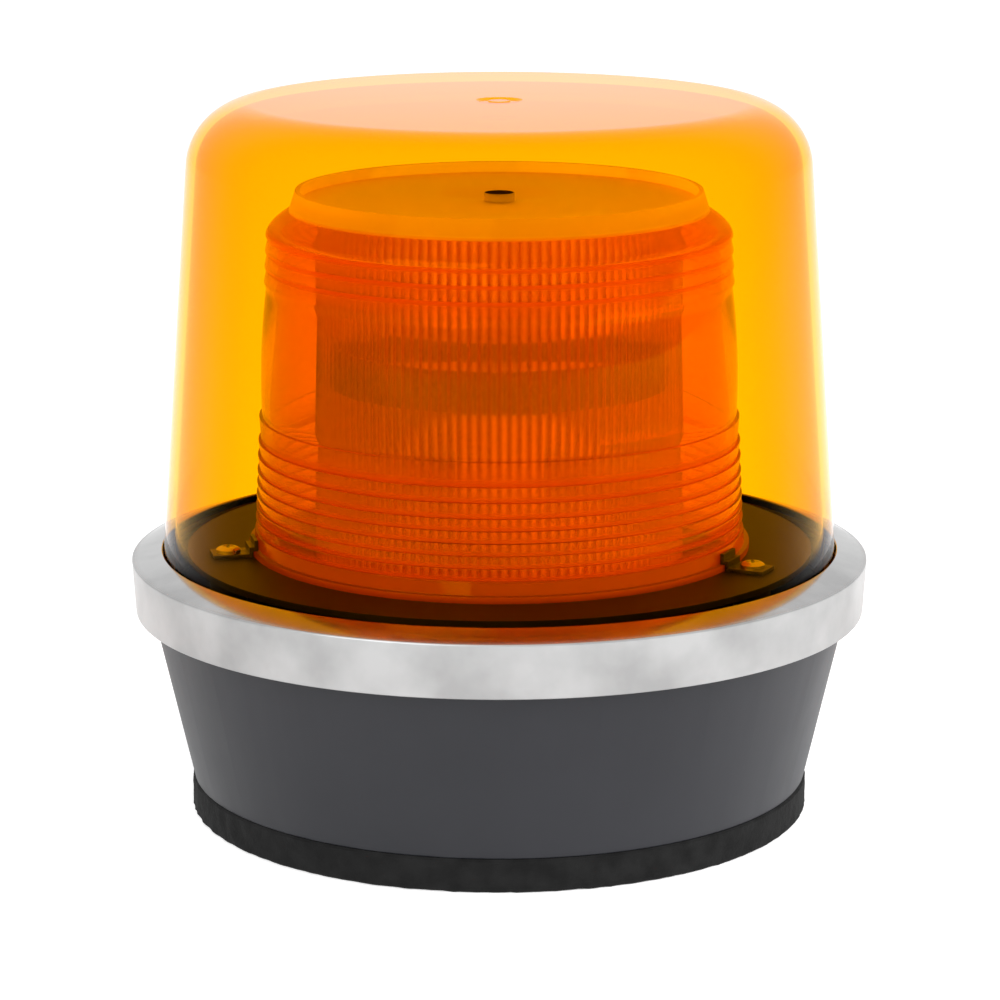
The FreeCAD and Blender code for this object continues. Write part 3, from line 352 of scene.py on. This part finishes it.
def makeLensPlastic():
    s = lensShape
    bottom = footOf("fresnel_lens")
    material, tree, shader, whole = bentClear("amberLens", (1.0, 0.52, 0.03), (0.02, 0.05))
    level = bottom + s["band"]
    # the stops paint a dark band just above each lower prism step that fades up the prism, a dark band
    # below each upper step, and a darker shoulder: painted shade along the lens grooves
    stops = [(bottom, 0.45), (level - 0.02, 0.35)]
    for prism in s["lower"]:
        stops += [(level + 0.02, 0.70), (level + 0.25 * prism, 0.30), (level + prism - 0.02, 0.04)]
        level += prism
    middle = level + s["belt"] / 2
    stops += [(level + 0.02, 0.08), (middle, 0.04)]
    lowerGrooveShade = ringRamp(tree, bottom, middle, stops)
    level += s["belt"]
    stops = [(middle, 0.04), (level - 0.02, 0.08)]
    for prism in s["upper"]:
        stops += [(level + 0.02, 0.05), (level + 0.75 * prism, 0.30), (level + prism - 0.02, 0.65)]
        level += prism
    stops += [(level + 0.02, 0.15), (level + s["shoulderRise"], 0.30)]
    upperGrooveShade = ringRamp(tree, middle, level + s["shoulderRise"], stops)
    grooveShade = byZone(tree, zone(tree, "Z", middle - 0.1, middle + 0.1), lowerGrooveShade, upperGrooveShade)
    # the milk turns dark red where those stops are high: painted shade at the grooves, over the lens's
    # own amber milk
    milkWithGrooveShade = byZone(tree, grooveShade, (1.0, 0.42, 0.03), (0.58, 0.045, 0.0))
    inward = tree.nodes.new("ShaderNodeMath")
    inward.operation = "MULTIPLY"
    onWalls = inward.outputs[0]
    rimAt = level + s["shoulderRise"]
    tree.links.new(zone(tree, "R", s["disc"] - 0.3, s["disc"] + 0.6), inward.inputs[0])
    tree.links.new(zone(tree, "Z", rimAt + 1.0, rimAt - 0.2), inward.inputs[1])
    onDisc = zone(tree, "R", s["nub"] - 0.4, s["nub"] + 0.2)
    disc = byZone(tree, onDisc, (0.03, 0.02, 0.01), (0.80, 0.70, 0.06))
    share = tree.nodes.new("ShaderNodeMix")
    solidNub = tree.nodes.new("ShaderNodeMapRange")
    solidNub.inputs["To Min"].default_value = 1.0
    solidNub.inputs["To Max"].default_value = 0.55
    tree.links.new(onDisc, solidNub.inputs["Value"])
    tree.links.new(solidNub.outputs["Result"], share.inputs["A"])
    tree.links.new(onWalls, share.inputs["Factor"])
    tree.links.new(grooveShade, share.inputs["B"])
    edgeOn = byZone(tree, grazing(tree, 1.2), (0.97, 0.55, 0.03), (0.50, 0.08, 0.01))
    tree.links.new(byZone(tree, onWalls, (0.96, 0.90, 0.14), edgeOn), shader.inputs["Base Color"])
    addMilk(tree, shader, whole, byZone(tree, onWalls, disc, milkWithGrooveShade), share.outputs["Result"], 0.3)
    return material


def makeSleevePlastic():
    material, tree, shader, whole = bentClear("amberSleeve", (1.0, 0.92, 0.45), (0.04, 0.09))
    ridge = fluteWave(tree, sleeveShape["flutes"])
    # the milk share rises towards the flute ridges, where the milk is painted dark as shade
    share = tree.nodes.new("ShaderNodeMapRange")
    share.inputs["To Min"].default_value = 0.10
    share.inputs["To Max"].default_value = 0.55
    tree.links.new(ridge, share.inputs["Value"])
    moulded = blendColours(tree, objectNoise(tree, 22, 2.0), (1.0, 0.99, 0.70), (0.92, 0.66, 0.18))
    # the milk is painted near-black red on the flute ridges and pale yellow in the valleys: painted
    # shade and light across the flutes, over the plastic's own milky tone
    addMilk(tree, shader, whole, byZone(tree, ridge, moulded, (0.30, 0.015, 0.0)),
            share.outputs["Result"], 0.4)
    return material


amberLens = makeLensPlastic()
amberSleeve = makeSleevePlastic()
ringSide = {"dark": (0.33, 0.33, 0.33), "light": (0.44, 0.44, 0.44), "rough": 0.34, "metallic": 0.85,
            "mottle": 45}
ringCrown = {"dark": (0.36, 0.36, 0.36), "light": (0.46, 0.46, 0.46), "rough": 0.14, "metallic": 1.0}
ringFinish = splitFinish("ringFinish", ringSide, ringCrown, "Z", 76.9, 77.6)
greyPaint = solidFinish("greyPaint", (0.016, 0.0165, 0.0205), (0.020, 0.0205, 0.025), (0.42, 0.50),
                        grain=900, mottle=30, depth=0.03, specular=0.32)
blackRubber = solidFinish("blackRubber", (0.005, 0.005, 0.005), (0.014, 0.014, 0.014), (0.8, 0.95),
                          grain=700, mottle=160, depth=0.4, strength=0.8, specular=0.2)
darkRubber = solidFinish("darkRubber", (0.015, 0.015, 0.015), (0.025, 0.025, 0.025), (0.6, 0.75))
brightDish = solidFinish("brightDish", (0.86, 0.86, 0.86), (0.92, 0.92, 0.92), (0.06, 0.12), 1.0,
                         grain=250, mottle=80, depth=0.01)
brightHoop = {"dark": (0.80, 0.80, 0.80), "light": (0.88, 0.88, 0.88), "rough": 0.25, "metallic": 0.6}
darkHoop = {"dark": (0.03, 0.03, 0.03), "light": (0.05, 0.05, 0.05), "rough": 0.45, "metallic": 0.2}
hoopFinish = splitFinish("hoopFinish", brightHoop, darkHoop, "Z", 128.5, 129.3, 141.0)
bareDeck = {"dark": (0.85, 0.85, 0.85), "light": (0.92, 0.92, 0.92), "rough": 0.3, "metallic": 0.3}
blackDeck = {"dark": (0.002, 0.002, 0.002), "light": (0.005, 0.005, 0.005), "rough": 0.5,
             "metallic": 0.0}
deckFinish = splitFinish("deckFinish", bareDeck, blackDeck, "R", 52.0, 54.0, specular=0.25)
zincSteel = solidFinish("zincSteel", (0.55, 0.55, 0.53), (0.68, 0.68, 0.66), (0.22, 0.35), 1.0)
blackSteel = solidFinish("blackSteel", (0.006, 0.006, 0.006), (0.02, 0.02, 0.02), (0.25, 0.45),
                         grain=500, mottle=200)
stainless = solidFinish("stainless", (0.62, 0.61, 0.60), (0.72, 0.71, 0.70), (0.15, 0.28), 1.0)
brass = solidFinish("brass", (0.62, 0.42, 0.16), (0.75, 0.54, 0.22), (0.2, 0.35), 1.0)
whiteNylon = solidFinish("whiteNylon", (0.66, 0.64, 0.58), (0.74, 0.72, 0.66), (0.4, 0.5))
blackPlastic = solidFinish("blackPlastic", (0.012, 0.012, 0.012), (0.02, 0.02, 0.02), (0.35, 0.5))
magnetGrey = solidFinish("magnetGrey", (0.05, 0.05, 0.05), (0.08, 0.08, 0.08), (0.5, 0.7))
tungsten = solidFinish("tungsten", (0.25, 0.24, 0.23), (0.35, 0.34, 0.32), (0.3, 0.4), 1.0)
leadRed = solidFinish("leadRed", (0.4, 0.02, 0.015), (0.5, 0.03, 0.02), (0.35, 0.45))
leadBlack = solidFinish("leadBlack", (0.012, 0.012, 0.012), (0.02, 0.02, 0.02), (0.35, 0.45))

finishes = {
    "base_housing": greyPaint, "clamp_ring": ringFinish, "rubber_pad": blackRubber,
    "ring_lock_screw": stainless, "dome_gasket": darkRubber, "outer_dome": amberDome,
    "deck_plate": deckFinish, "lens_clips": blackSteel, "deck_screws": zincSteel,
    "fresnel_lens": amberLens, "diffuser_sleeve": amberSleeve, "lamp_post": zincSteel,
    "post_nut": brass, "lamp_socket": stainless, "bulb_base": brass, "bulb_glass": lampGlass,
    "bulb_filament": tungsten, "rotor_hub": brass, "thrust_washer": whiteNylon,
    "retaining_ring": stainless, "drive_gear": whiteNylon, "reflector_carrier": hoopFinish,
    "gear_screws": zincSteel, "reflector": brightDish, "reflector_screws": zincSteel,
    "counterweight": zincSteel, "weight_screw": zincSteel, "motor_can": zincSteel,
    "motor_end_cap": blackPlastic, "motor_magnets": magnetGrey, "motor_armature": brass,
    "motor_shaft": stainless, "motor_pinion": brass, "motor_screws": zincSteel,
    "terminal_block": blackPlastic, "terminal_screws": brass, "block_screws": zincSteel,
    "earth_screw": brass, "lamp_leads": leadRed, "motor_leads": leadBlack,
}
for name, node in nodes.items():
    node.data.materials.clear()
    node.data.materials.append(finishes[name])
print("materials made")


# the piece takes the CAD node's place, finish and slot
def dress(piece, node, body="base"):
    piece.data.materials.clear()
    piece.data.materials.append(finishes[node])
    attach(piece, body)
    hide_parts(node)


# points of an arc in a (radius, height) outline
def arc(centre, radius, startDegrees, endDegrees, count):
    points = []
    for i in range(count + 1):
        angle = math.radians(startDegrees + (endDegrees - startDegrees) * i / count)
        points.append((centre[0] + radius * math.cos(angle), centre[1] + radius * math.sin(angle)))
    return points


# the outline with each corner rounded by a small radius
def eased(outline, radius, closed=True, count=3):
    result = []
    size = len(outline)
    for i, corner in enumerate(outline):
        if not closed and i in (0, size - 1):
            result.append(corner)
            continue
        here = Vector(corner)
        into = Vector(outline[i - 1]) - here
        out = Vector(outline[(i + 1) % size]) - here
        turn = into.angle(out, math.pi)
        if turn > math.radians(150) or corner[0] < 1e-6:
            result.append(corner)
            continue
        reach = min(radius / math.tan(turn / 2), into.length * 0.45, out.length * 0.45)
        start = here + into.normalized() * reach
        end = here + out.normalized() * reach
        for step in range(count + 1):
            t = step / count
            point = start * (1 - t) ** 2 + here * 2 * t * (1 - t) + end * t ** 2
            result.append((point.x, point.y))
    return result


# extrudes one vertex along a (radius, height) outline in mm and spins it about Z
def turnOnLathe(name, outline, steps=144, closed=True, degrees=30):
    deselectAll()
    bpy.ops.mesh.primitive_plane_add(size=0.001, location=(0, 0, 0))
    piece = bpy.context.object
    piece.name = name
    bpy.ops.object.mode_set(mode="EDIT")
    bpy.ops.mesh.select_all(action="SELECT")
    bpy.ops.mesh.merge(type="CENTER")
    points = [Vector((r * mm, 0, z * mm)) for r, z in outline]
    bpy.ops.transform.translate(value=points[0])
    route = points[1:] + (points[:1] if closed else [])
    here = points[0]
    for point in route:
        bpy.ops.mesh.extrude_region_move(TRANSFORM_OT_translate={"value": point - here})
        here = point
    bpy.ops.mesh.select_all(action="SELECT")
    bpy.ops.mesh.remove_doubles(threshold=1e-6)
    bpy.ops.mesh.spin(steps=steps, angle=2 * math.pi, center=(0, 0, 0), axis=(0, 0, 1))
    bpy.ops.mesh.select_all(action="SELECT")
    bpy.ops.mesh.remove_doubles(threshold=2e-6)
    bpy.ops.mesh.normals_make_consistent(inside=False)
    bpy.ops.object.mode_set(mode="OBJECT")
    smooth(piece, degrees)
    return piece


# outer dome
domeShape = {"flange": 104.05, "flangeLow": 72.5, "flangeHigh": 75.5, "foot": 100.4, "footAt": 79.8,
             "fillet": 19.5, "filletAt": (72.55, 193.1), "wall": 3.0, "lean": 4.24, "edge": 0.5,
             "gate": 3.0, "gateDrop": 0.15, "gateSlope": 0.4, "dish": 0.5, "dishFlat": 3,
             "dishOut": 4, "arcSteps": 24}


def makeDome():
    s = domeShape
    inner = s["fillet"] - s["wall"]
    top = s["filletAt"][1] + s["fillet"]
    outline = [(0, top - s["gateDrop"]), (s["gate"], top - s["gateDrop"]),
               (s["gate"] + s["gateSlope"], top - s["dish"]),
               (s["gate"] + s["dishFlat"], top - s["dish"]), (s["gate"] + s["dishOut"], top)]
    outline += arc(s["filletAt"], s["fillet"], 90, s["lean"], s["arcSteps"])
    outline += [(s["foot"], s["footAt"]), (s["foot"], s["flangeHigh"])]
    outline += [(s["flange"] - s["edge"], s["flangeHigh"]), (s["flange"], s["flangeHigh"] - s["edge"])]
    outline += [(s["flange"], s["flangeLow"] + s["edge"]), (s["flange"] - s["edge"], s["flangeLow"])]
    outline += [(s["foot"] - s["wall"], s["flangeLow"]), (s["foot"] - s["wall"], s["footAt"])]
    outline += arc(s["filletAt"], inner, s["lean"], 90, s["arcSteps"])
    outline += [(0, top - s["wall"])]
    dome = turnOnLathe("outerDome", outline, steps=180, closed=False, degrees=25)
    dress(dome, "outer_dome")


makeDome()
print("dome turned")


# ringed lens
def makeLens():
    s = lensShape
    bottom = footOf("fresnel_lens")
    height = s["band"] + sum(s["lower"]) + s["belt"] + sum(s["upper"])

    def wall(level):
        return s["foot"] - (level - bottom) * (s["foot"] - s["top"]) / height

    outline = [(s["foot"] - s["wall"], bottom), (s["foot"] + s["flange"], bottom),
               (s["foot"] + s["flange"], bottom + s["flangeThick"]),
               (s["foot"] - s["lip"], bottom + s["flangeThick"])]
    level = bottom + s["band"]
    outline.append((wall(level), level))
    for prism in s["lower"]:
        outline.append((wall(level) - s["depth"], level))
        level += prism
        outline.append((wall(level), level))
    beltFoot = level
    level += s["belt"]
    for i in range(s["beltSteps"] + 1):
        t = i / s["beltSteps"]
        outline.append((wall(beltFoot + t * s["belt"]) - s["depth"] + s["bulge"] * 4 * t * (1 - t),
                        beltFoot + t * s["belt"]))
    for prism in s["upper"]:
        outline.append((wall(level), level))
        level += prism
        outline.append((wall(level) - s["depth"], level))
    shoulder = level + s["shoulderRise"]
    rim = shoulder + s["rimRise"]
    disc = rim - s["drop"]
    outline.append((wall(level), level))
    for i in range(1, s["shoulderSteps"] + 1):
        t = i / s["shoulderSteps"]
        outline.append((wall(level) - s["shoulderIn"] * t ** s["shoulderCurve"],
                        level + s["shoulderRise"] * t))
    outline += [
        (s["disc"] + s["rim"], rim), (s["disc"], rim), (s["disc"], disc),
        (s["nub"], disc), (s["nub"], disc + s["nubRise"]), (0, disc + s["nubRise"])]
    inside = [(0, disc - s["wall"]), (wall(level) - s["shoulderIn"] - s["wall"], disc - s["wall"]),
              (wall(level) - s["wall"], level), (s["foot"] - s["wall"], bottom)]
    outline = [outline[0]] + eased(outline, s["ease"], closed=False, count=2)[1:]
    lens = turnOnLathe("ringedLens", inside + outline[1:], steps=180, closed=False, degrees=28)
    dress(lens, "fresnel_lens")


makeLens()
print("lens turned")


# fluted sleeve
def makeSleeve():
    s = sleeveShape
    foot, top = (corner.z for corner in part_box("diffuser_sleeve"))
    count = s["flutes"] * 4
    deselectAll()
    bpy.ops.mesh.primitive_circle_add(vertices=count, radius=s["ridge"] * mm, location=(0, 0, foot))
    sleeve = bpy.context.object
    sleeve.name = "flutedSleeve"
    for phase, radius in ((1, (s["ridge"] + s["valley"]) / 2), (2, s["valley"]),
                          (3, (s["ridge"] + s["valley"]) / 2)):
        bpy.ops.object.mode_set(mode="EDIT")
        bpy.ops.mesh.select_all(action="DESELECT")
        bpy.ops.object.mode_set(mode="OBJECT")
        for i, vertex in enumerate(sleeve.data.vertices):
            vertex.select = i % 4 == phase
        bpy.ops.object.mode_set(mode="EDIT")
        scale = radius / s["ridge"]
        bpy.ops.transform.resize(value=(scale, scale, 1), center_override=(0, 0, foot))
        bpy.ops.object.mode_set(mode="OBJECT")
    bpy.ops.object.mode_set(mode="EDIT")
    bpy.ops.mesh.select_all(action="SELECT")
    bpy.ops.mesh.extrude_region_move(TRANSFORM_OT_translate={"value": (0, 0, top - foot)})
    bpy.ops.mesh.select_all(action="SELECT")
    bpy.ops.mesh.normals_make_consistent(inside=False)
    bpy.ops.object.mode_set(mode="OBJECT")
    freeze(sleeve)
    wall = sleeve.modifiers.new("wall", "SOLIDIFY")
    wall.thickness = s["wall"] * mm
    wall.offset = -1
    applyModifiers(sleeve)
    smooth(sleeve, 50)
    dress(sleeve, "diffuser_sleeve")


makeSleeve()
print("sleeve fluted")


# clamp ring
ringShape = {"bore": 104.25, "outside": 110.0, "taper": 1.0, "low": 61.2, "shoulder": 77.0,
             "top": 79.8, "mouth": 100.8, "seat": 75.7, "ease": 0.6}


def makeRing():
    s = ringShape
    outline = [(s["bore"], s["low"]), (s["outside"] - s["taper"], s["low"]),
               (s["outside"], s["shoulder"]), (s["mouth"], s["top"]),
               (s["mouth"], s["seat"]), (s["bore"], s["seat"])]
    ring = turnOnLathe("clampRing", eased(outline, s["ease"]), steps=240)
    dress(ring, "clamp_ring")


makeRing()
print("clamp ring turned")


# rubber pad with a hand-cut edge
padShape = {"radius": 92.8, "thick": 10.0, "conduit": 10.8, "boltReach": 70.0, "boltHole": 3.3,
            "corner": 0.6, "courses": 8, "ragged": 0.9, "nibbled": 0.5, "grain": 4.0, "near": 0.1}


# takes the cutter's shape out of the piece
def cutAway(piece, cutter):
    cut = piece.modifiers.new("cut", "BOOLEAN")
    cut.object = cutter
    cut.solver = "EXACT"
    applyModifiers(piece)
    pick(cutter)
    bpy.ops.object.delete()


def drill(piece, radius, x, y, height, sides=40):
    bpy.ops.mesh.primitive_cylinder_add(vertices=sides, radius=radius * mm, depth=height * mm,
                                        location=(x * mm, y * mm, 0))
    cutAway(piece, bpy.context.object)


# the edge vertices that a ragged cut may move
def raggedGroup(piece, name, inside, below):
    chosen = [v.index for v in piece.data.vertices
              if v.co.xy.length > inside * mm and v.co.z < below * mm]
    piece.vertex_groups.new(name=name).add(chosen, 1.0, "REPLACE")


def makePad():
    s = padShape
    side = [(s["radius"], s["corner"] + (s["thick"] - 2 * s["corner"]) * i / s["courses"])
            for i in range(s["courses"] + 1)]
    outline = [(s["conduit"], 0), (s["radius"] - s["corner"], 0)] + side
    outline += [(s["radius"] - s["corner"], s["thick"]), (s["conduit"], s["thick"])]
    pad = turnOnLathe("rubberPad", outline, steps=360)
    for i in range(4):
        angle = math.radians(45 + 90 * i)
        drill(pad, s["boltHole"], s["boltReach"] * math.cos(angle), s["boltReach"] * math.sin(angle),
              3 * s["thick"])
    near = s["near"]
    raggedGroup(pad, "cutEdge", s["radius"] - near, s["thick"])
    raggedGroup(pad, "lowerEdge", s["radius"] - s["corner"] - near, s["corner"] + near)
    cut = bpy.data.textures.new("raggedCut", "CLOUDS")
    cut.noise_scale = s["grain"] * mm
    for direction, group, depth, middle in (("X", "cutEdge", s["ragged"], 0.5),
                                            ("Y", "cutEdge", s["ragged"], 0.5),
                                            ("Z", "lowerEdge", s["nibbled"], 0.0)):
        push = pad.modifiers.new("push" + direction, "DISPLACE")
        push.texture = cut
        push.texture_coords = "LOCAL"
        push.direction = direction
        push.vertex_group = group
        push.strength = depth * mm
        push.mid_level = middle
    applyModifiers(pad)
    pad.vertex_groups.clear()
    smooth(pad, 50)
    dress(pad, "rubber_pad")


makePad()
print("pad cut")


# deck screws with a cross recess
screwShape = {"head": 3.6, "rise": 1.8, "edge": 0.9, "shank": 2.0, "depth": 12.0, "tip": 0.6,
              "slot": 0.9, "slotLength": 3.8, "slotDepth": 1.1, "seat": 80.7, "reach": 82.0,
              "angles": (-26.0, 83.0, 192.0)}


def makeDeckScrews():
    s = screwShape
    top = s["seat"] + s["rise"]
    outline = [(0, top)] + [(s["head"] * t, top - (s["rise"] - s["edge"]) * t ** 4)
                            for t in (0.3, 0.5, 0.7, 0.85, 1.0)]
    outline += [(s["head"], s["seat"]), (s["shank"], s["seat"]),
                (s["shank"], s["seat"] - s["depth"] + s["tip"]),
                (s["shank"] - s["tip"], s["seat"] - s["depth"]), (0, s["seat"] - s["depth"])]
    screws = []
    for angle in s["angles"]:
        screw = turnOnLathe("deckScrew", outline, steps=48, closed=False)
        for length, width in ((s["slotLength"], s["slot"]), (s["slot"], s["slotLength"])):
            bpy.ops.mesh.primitive_cube_add(size=1, location=(0, 0, top * mm))
            cutter = bpy.context.object
            bpy.ops.transform.resize(value=(length * mm, width * mm, 2 * s["slotDepth"] * mm))
            cutAway(screw, cutter)
        pick(screw)
        turn = math.radians(angle)
        bpy.ops.transform.translate(value=(s["reach"] * mm * math.cos(turn),
                                           s["reach"] * mm * math.sin(turn), 0))
        freeze(screw)
        smooth(screw, 35)
        screws.append(screw)
    deselectAll()
    for screw in screws:
        screw.select_set(True)
    bpy.context.view_layer.objects.active = screws[0]
    bpy.ops.object.join()
    screws[0].name = "deckScrews"
    dress(screws[0], "deck_screws")


makeDeckScrews()
print("deck screws made")


# machined and pressed parts get softened edges, in mm
easedEdges = {
    "base_housing": ("baseHousing", 0.5), "deck_plate": ("deckPlate", 0.3),
    "lens_clips": ("lensClips", 0.2), "lamp_post": ("lampPost", 0.25),
    "lamp_socket": ("lampSocket", 0.2), "rotor_hub": ("rotorHub", 0.2),
    "reflector_carrier": ("reflectorCarrier", 0.2), "counterweight": ("counterWeight", 0.5),
    "motor_can": ("motorCan", 0.3), "motor_end_cap": ("motorEndCap", 0.4),
    "terminal_block": ("terminalBlock", 0.4), "ring_lock_screw": ("ringLockScrew", 0.2),
}
bodyOf = {node: body for body, group in frame["record"]["behaviour"]["bodies"].items()
          for node in group}


def easeCopy(node, name, width):
    deselectAll()
    bpy.ops.mesh.primitive_plane_add(size=mm, location=(0, 0, 0))
    piece = bpy.context.object
    piece.name = name
    piece.data = nodes[node].data.copy()
    bpy.ops.mesh.customdata_custom_splitnormals_clear()
    bpy.ops.object.mode_set(mode="EDIT")
    bpy.ops.mesh.select_all(action="SELECT")
    bpy.ops.mesh.remove_doubles(threshold=2e-6)
    bpy.ops.mesh.dissolve_limited(angle_limit=math.radians(0.5))
    bpy.ops.object.mode_set(mode="OBJECT")
    ease = piece.modifiers.new("ease", "BEVEL")
    ease.width = width * mm
    ease.segments = 2
    ease.limit_method = "ANGLE"
    ease.angle_limit = math.radians(40)
    applyModifiers(piece)
    smooth(piece, 40)
    weigh = piece.modifiers.new("weigh", "WEIGHTED_NORMAL")  # broad faces keep their shading flat
    weigh.keep_sharp = True
    weigh.weight = 100
    applyModifiers(piece)
    dress(piece, node, bodyOf[node])


for node, (name, width) in easedEdges.items():
    easeCopy(node, name, width)
print("edges softened")


# pale floor, white surround and lamps
stageShape = {"floor": 8, "grey": 0.8, "glow": 0.55, "world": 0.6, "aimAt": (0, 0, 0.1)}


def makeStage():
    s = stageShape
    deselectAll()
    bpy.ops.mesh.primitive_plane_add(size=s["floor"], location=(0, 0, 0))
    floor = bpy.context.object
    floor.name = "floor"
    material, tree, out = newMaterial("paleFloor")
    base = tree.nodes.new("ShaderNodeBsdfDiffuse")
    base.inputs["Color"].default_value = (s["grey"], s["grey"], s["grey"], 1)
    glow = tree.nodes.new("ShaderNodeEmission")
    glow.inputs["Color"].default_value = (1, 1, 1, 1)
    glow.inputs["Strength"].default_value = s["glow"]
    both = tree.nodes.new("ShaderNodeAddShader")
    whole = tree.nodes.new("ShaderNodeMixShader")
    tree.links.new(base.outputs[0], both.inputs[0])
    tree.links.new(glow.outputs[0], both.inputs[1])
    tree.links.new(seenRays(tree), whole.inputs["Fac"])
    tree.links.new(base.outputs[0], whole.inputs[1])
    tree.links.new(both.outputs[0], whole.inputs[2])
    tree.links.new(whole.outputs[0], out.inputs["Surface"])
    floor.data.materials.append(material)


# 1 for camera, glossy and transmission rays
def seenRays(tree):
    path = tree.nodes.new("ShaderNodeLightPath")
    first = tree.nodes.new("ShaderNodeMath")
    first.operation = "MAXIMUM"
    second = tree.nodes.new("ShaderNodeMath")
    second.operation = "MAXIMUM"
    tree.links.new(path.outputs["Is Camera Ray"], first.inputs[0])
    tree.links.new(path.outputs["Is Glossy Ray"], first.inputs[1])
    tree.links.new(first.outputs[0], second.inputs[0])
    tree.links.new(path.outputs["Is Transmission Ray"], second.inputs[1])
    return second.outputs[0]


def makeWorld(strength):
    world = bpy.data.worlds.new("studio")
    bpy.context.scene.world = world
    world.use_nodes = True
    tree = world.node_tree
    tree.nodes.clear()
    out = tree.nodes.new("ShaderNodeOutputWorld")
    soft = tree.nodes.new("ShaderNodeBackground")
    soft.inputs["Strength"].default_value = strength
    white = tree.nodes.new("ShaderNodeBackground")
    white.inputs["Color"].default_value = (1, 1, 1, 1)
    soft.inputs["Color"].default_value = (1, 1, 1, 1)
    white.inputs["Strength"].default_value = 1
    mix = tree.nodes.new("ShaderNodeMixShader")
    tree.links.new(seenRays(tree), mix.inputs["Fac"])
    tree.links.new(soft.outputs[0], mix.inputs[1])
    tree.links.new(white.outputs[0], mix.inputs[2])
    tree.links.new(mix.outputs[0], out.inputs["Surface"])


lamps = {
    "keyLamp": {"at": (-0.9, -1.3, 1.1), "size": 1.6, "power": 21, "mirrored": True},
    "sideLamp": {"at": (1.8, -0.45, 0.8), "size": 2.2, "power": 60, "mirrored": False},
}


def makeLamps():
    for name, s in lamps.items():
        bpy.ops.object.light_add(type="AREA", location=s["at"])
        lamp = bpy.context.object
        lamp.name = name
        lamp.data.size = s["size"]
        lamp.data.energy = s["power"]
        lamp.visible_glossy = s["mirrored"]  # a mirrored square lamp shows its outline in the dome
        aim = Vector(stageShape["aimAt"]) - Vector(s["at"])
        lamp.rotation_euler = aim.to_track_quat("-Z", "Y").to_euler()


makeStage()
makeWorld(stageShape["world"])
makeLamps()
print("stage lit")
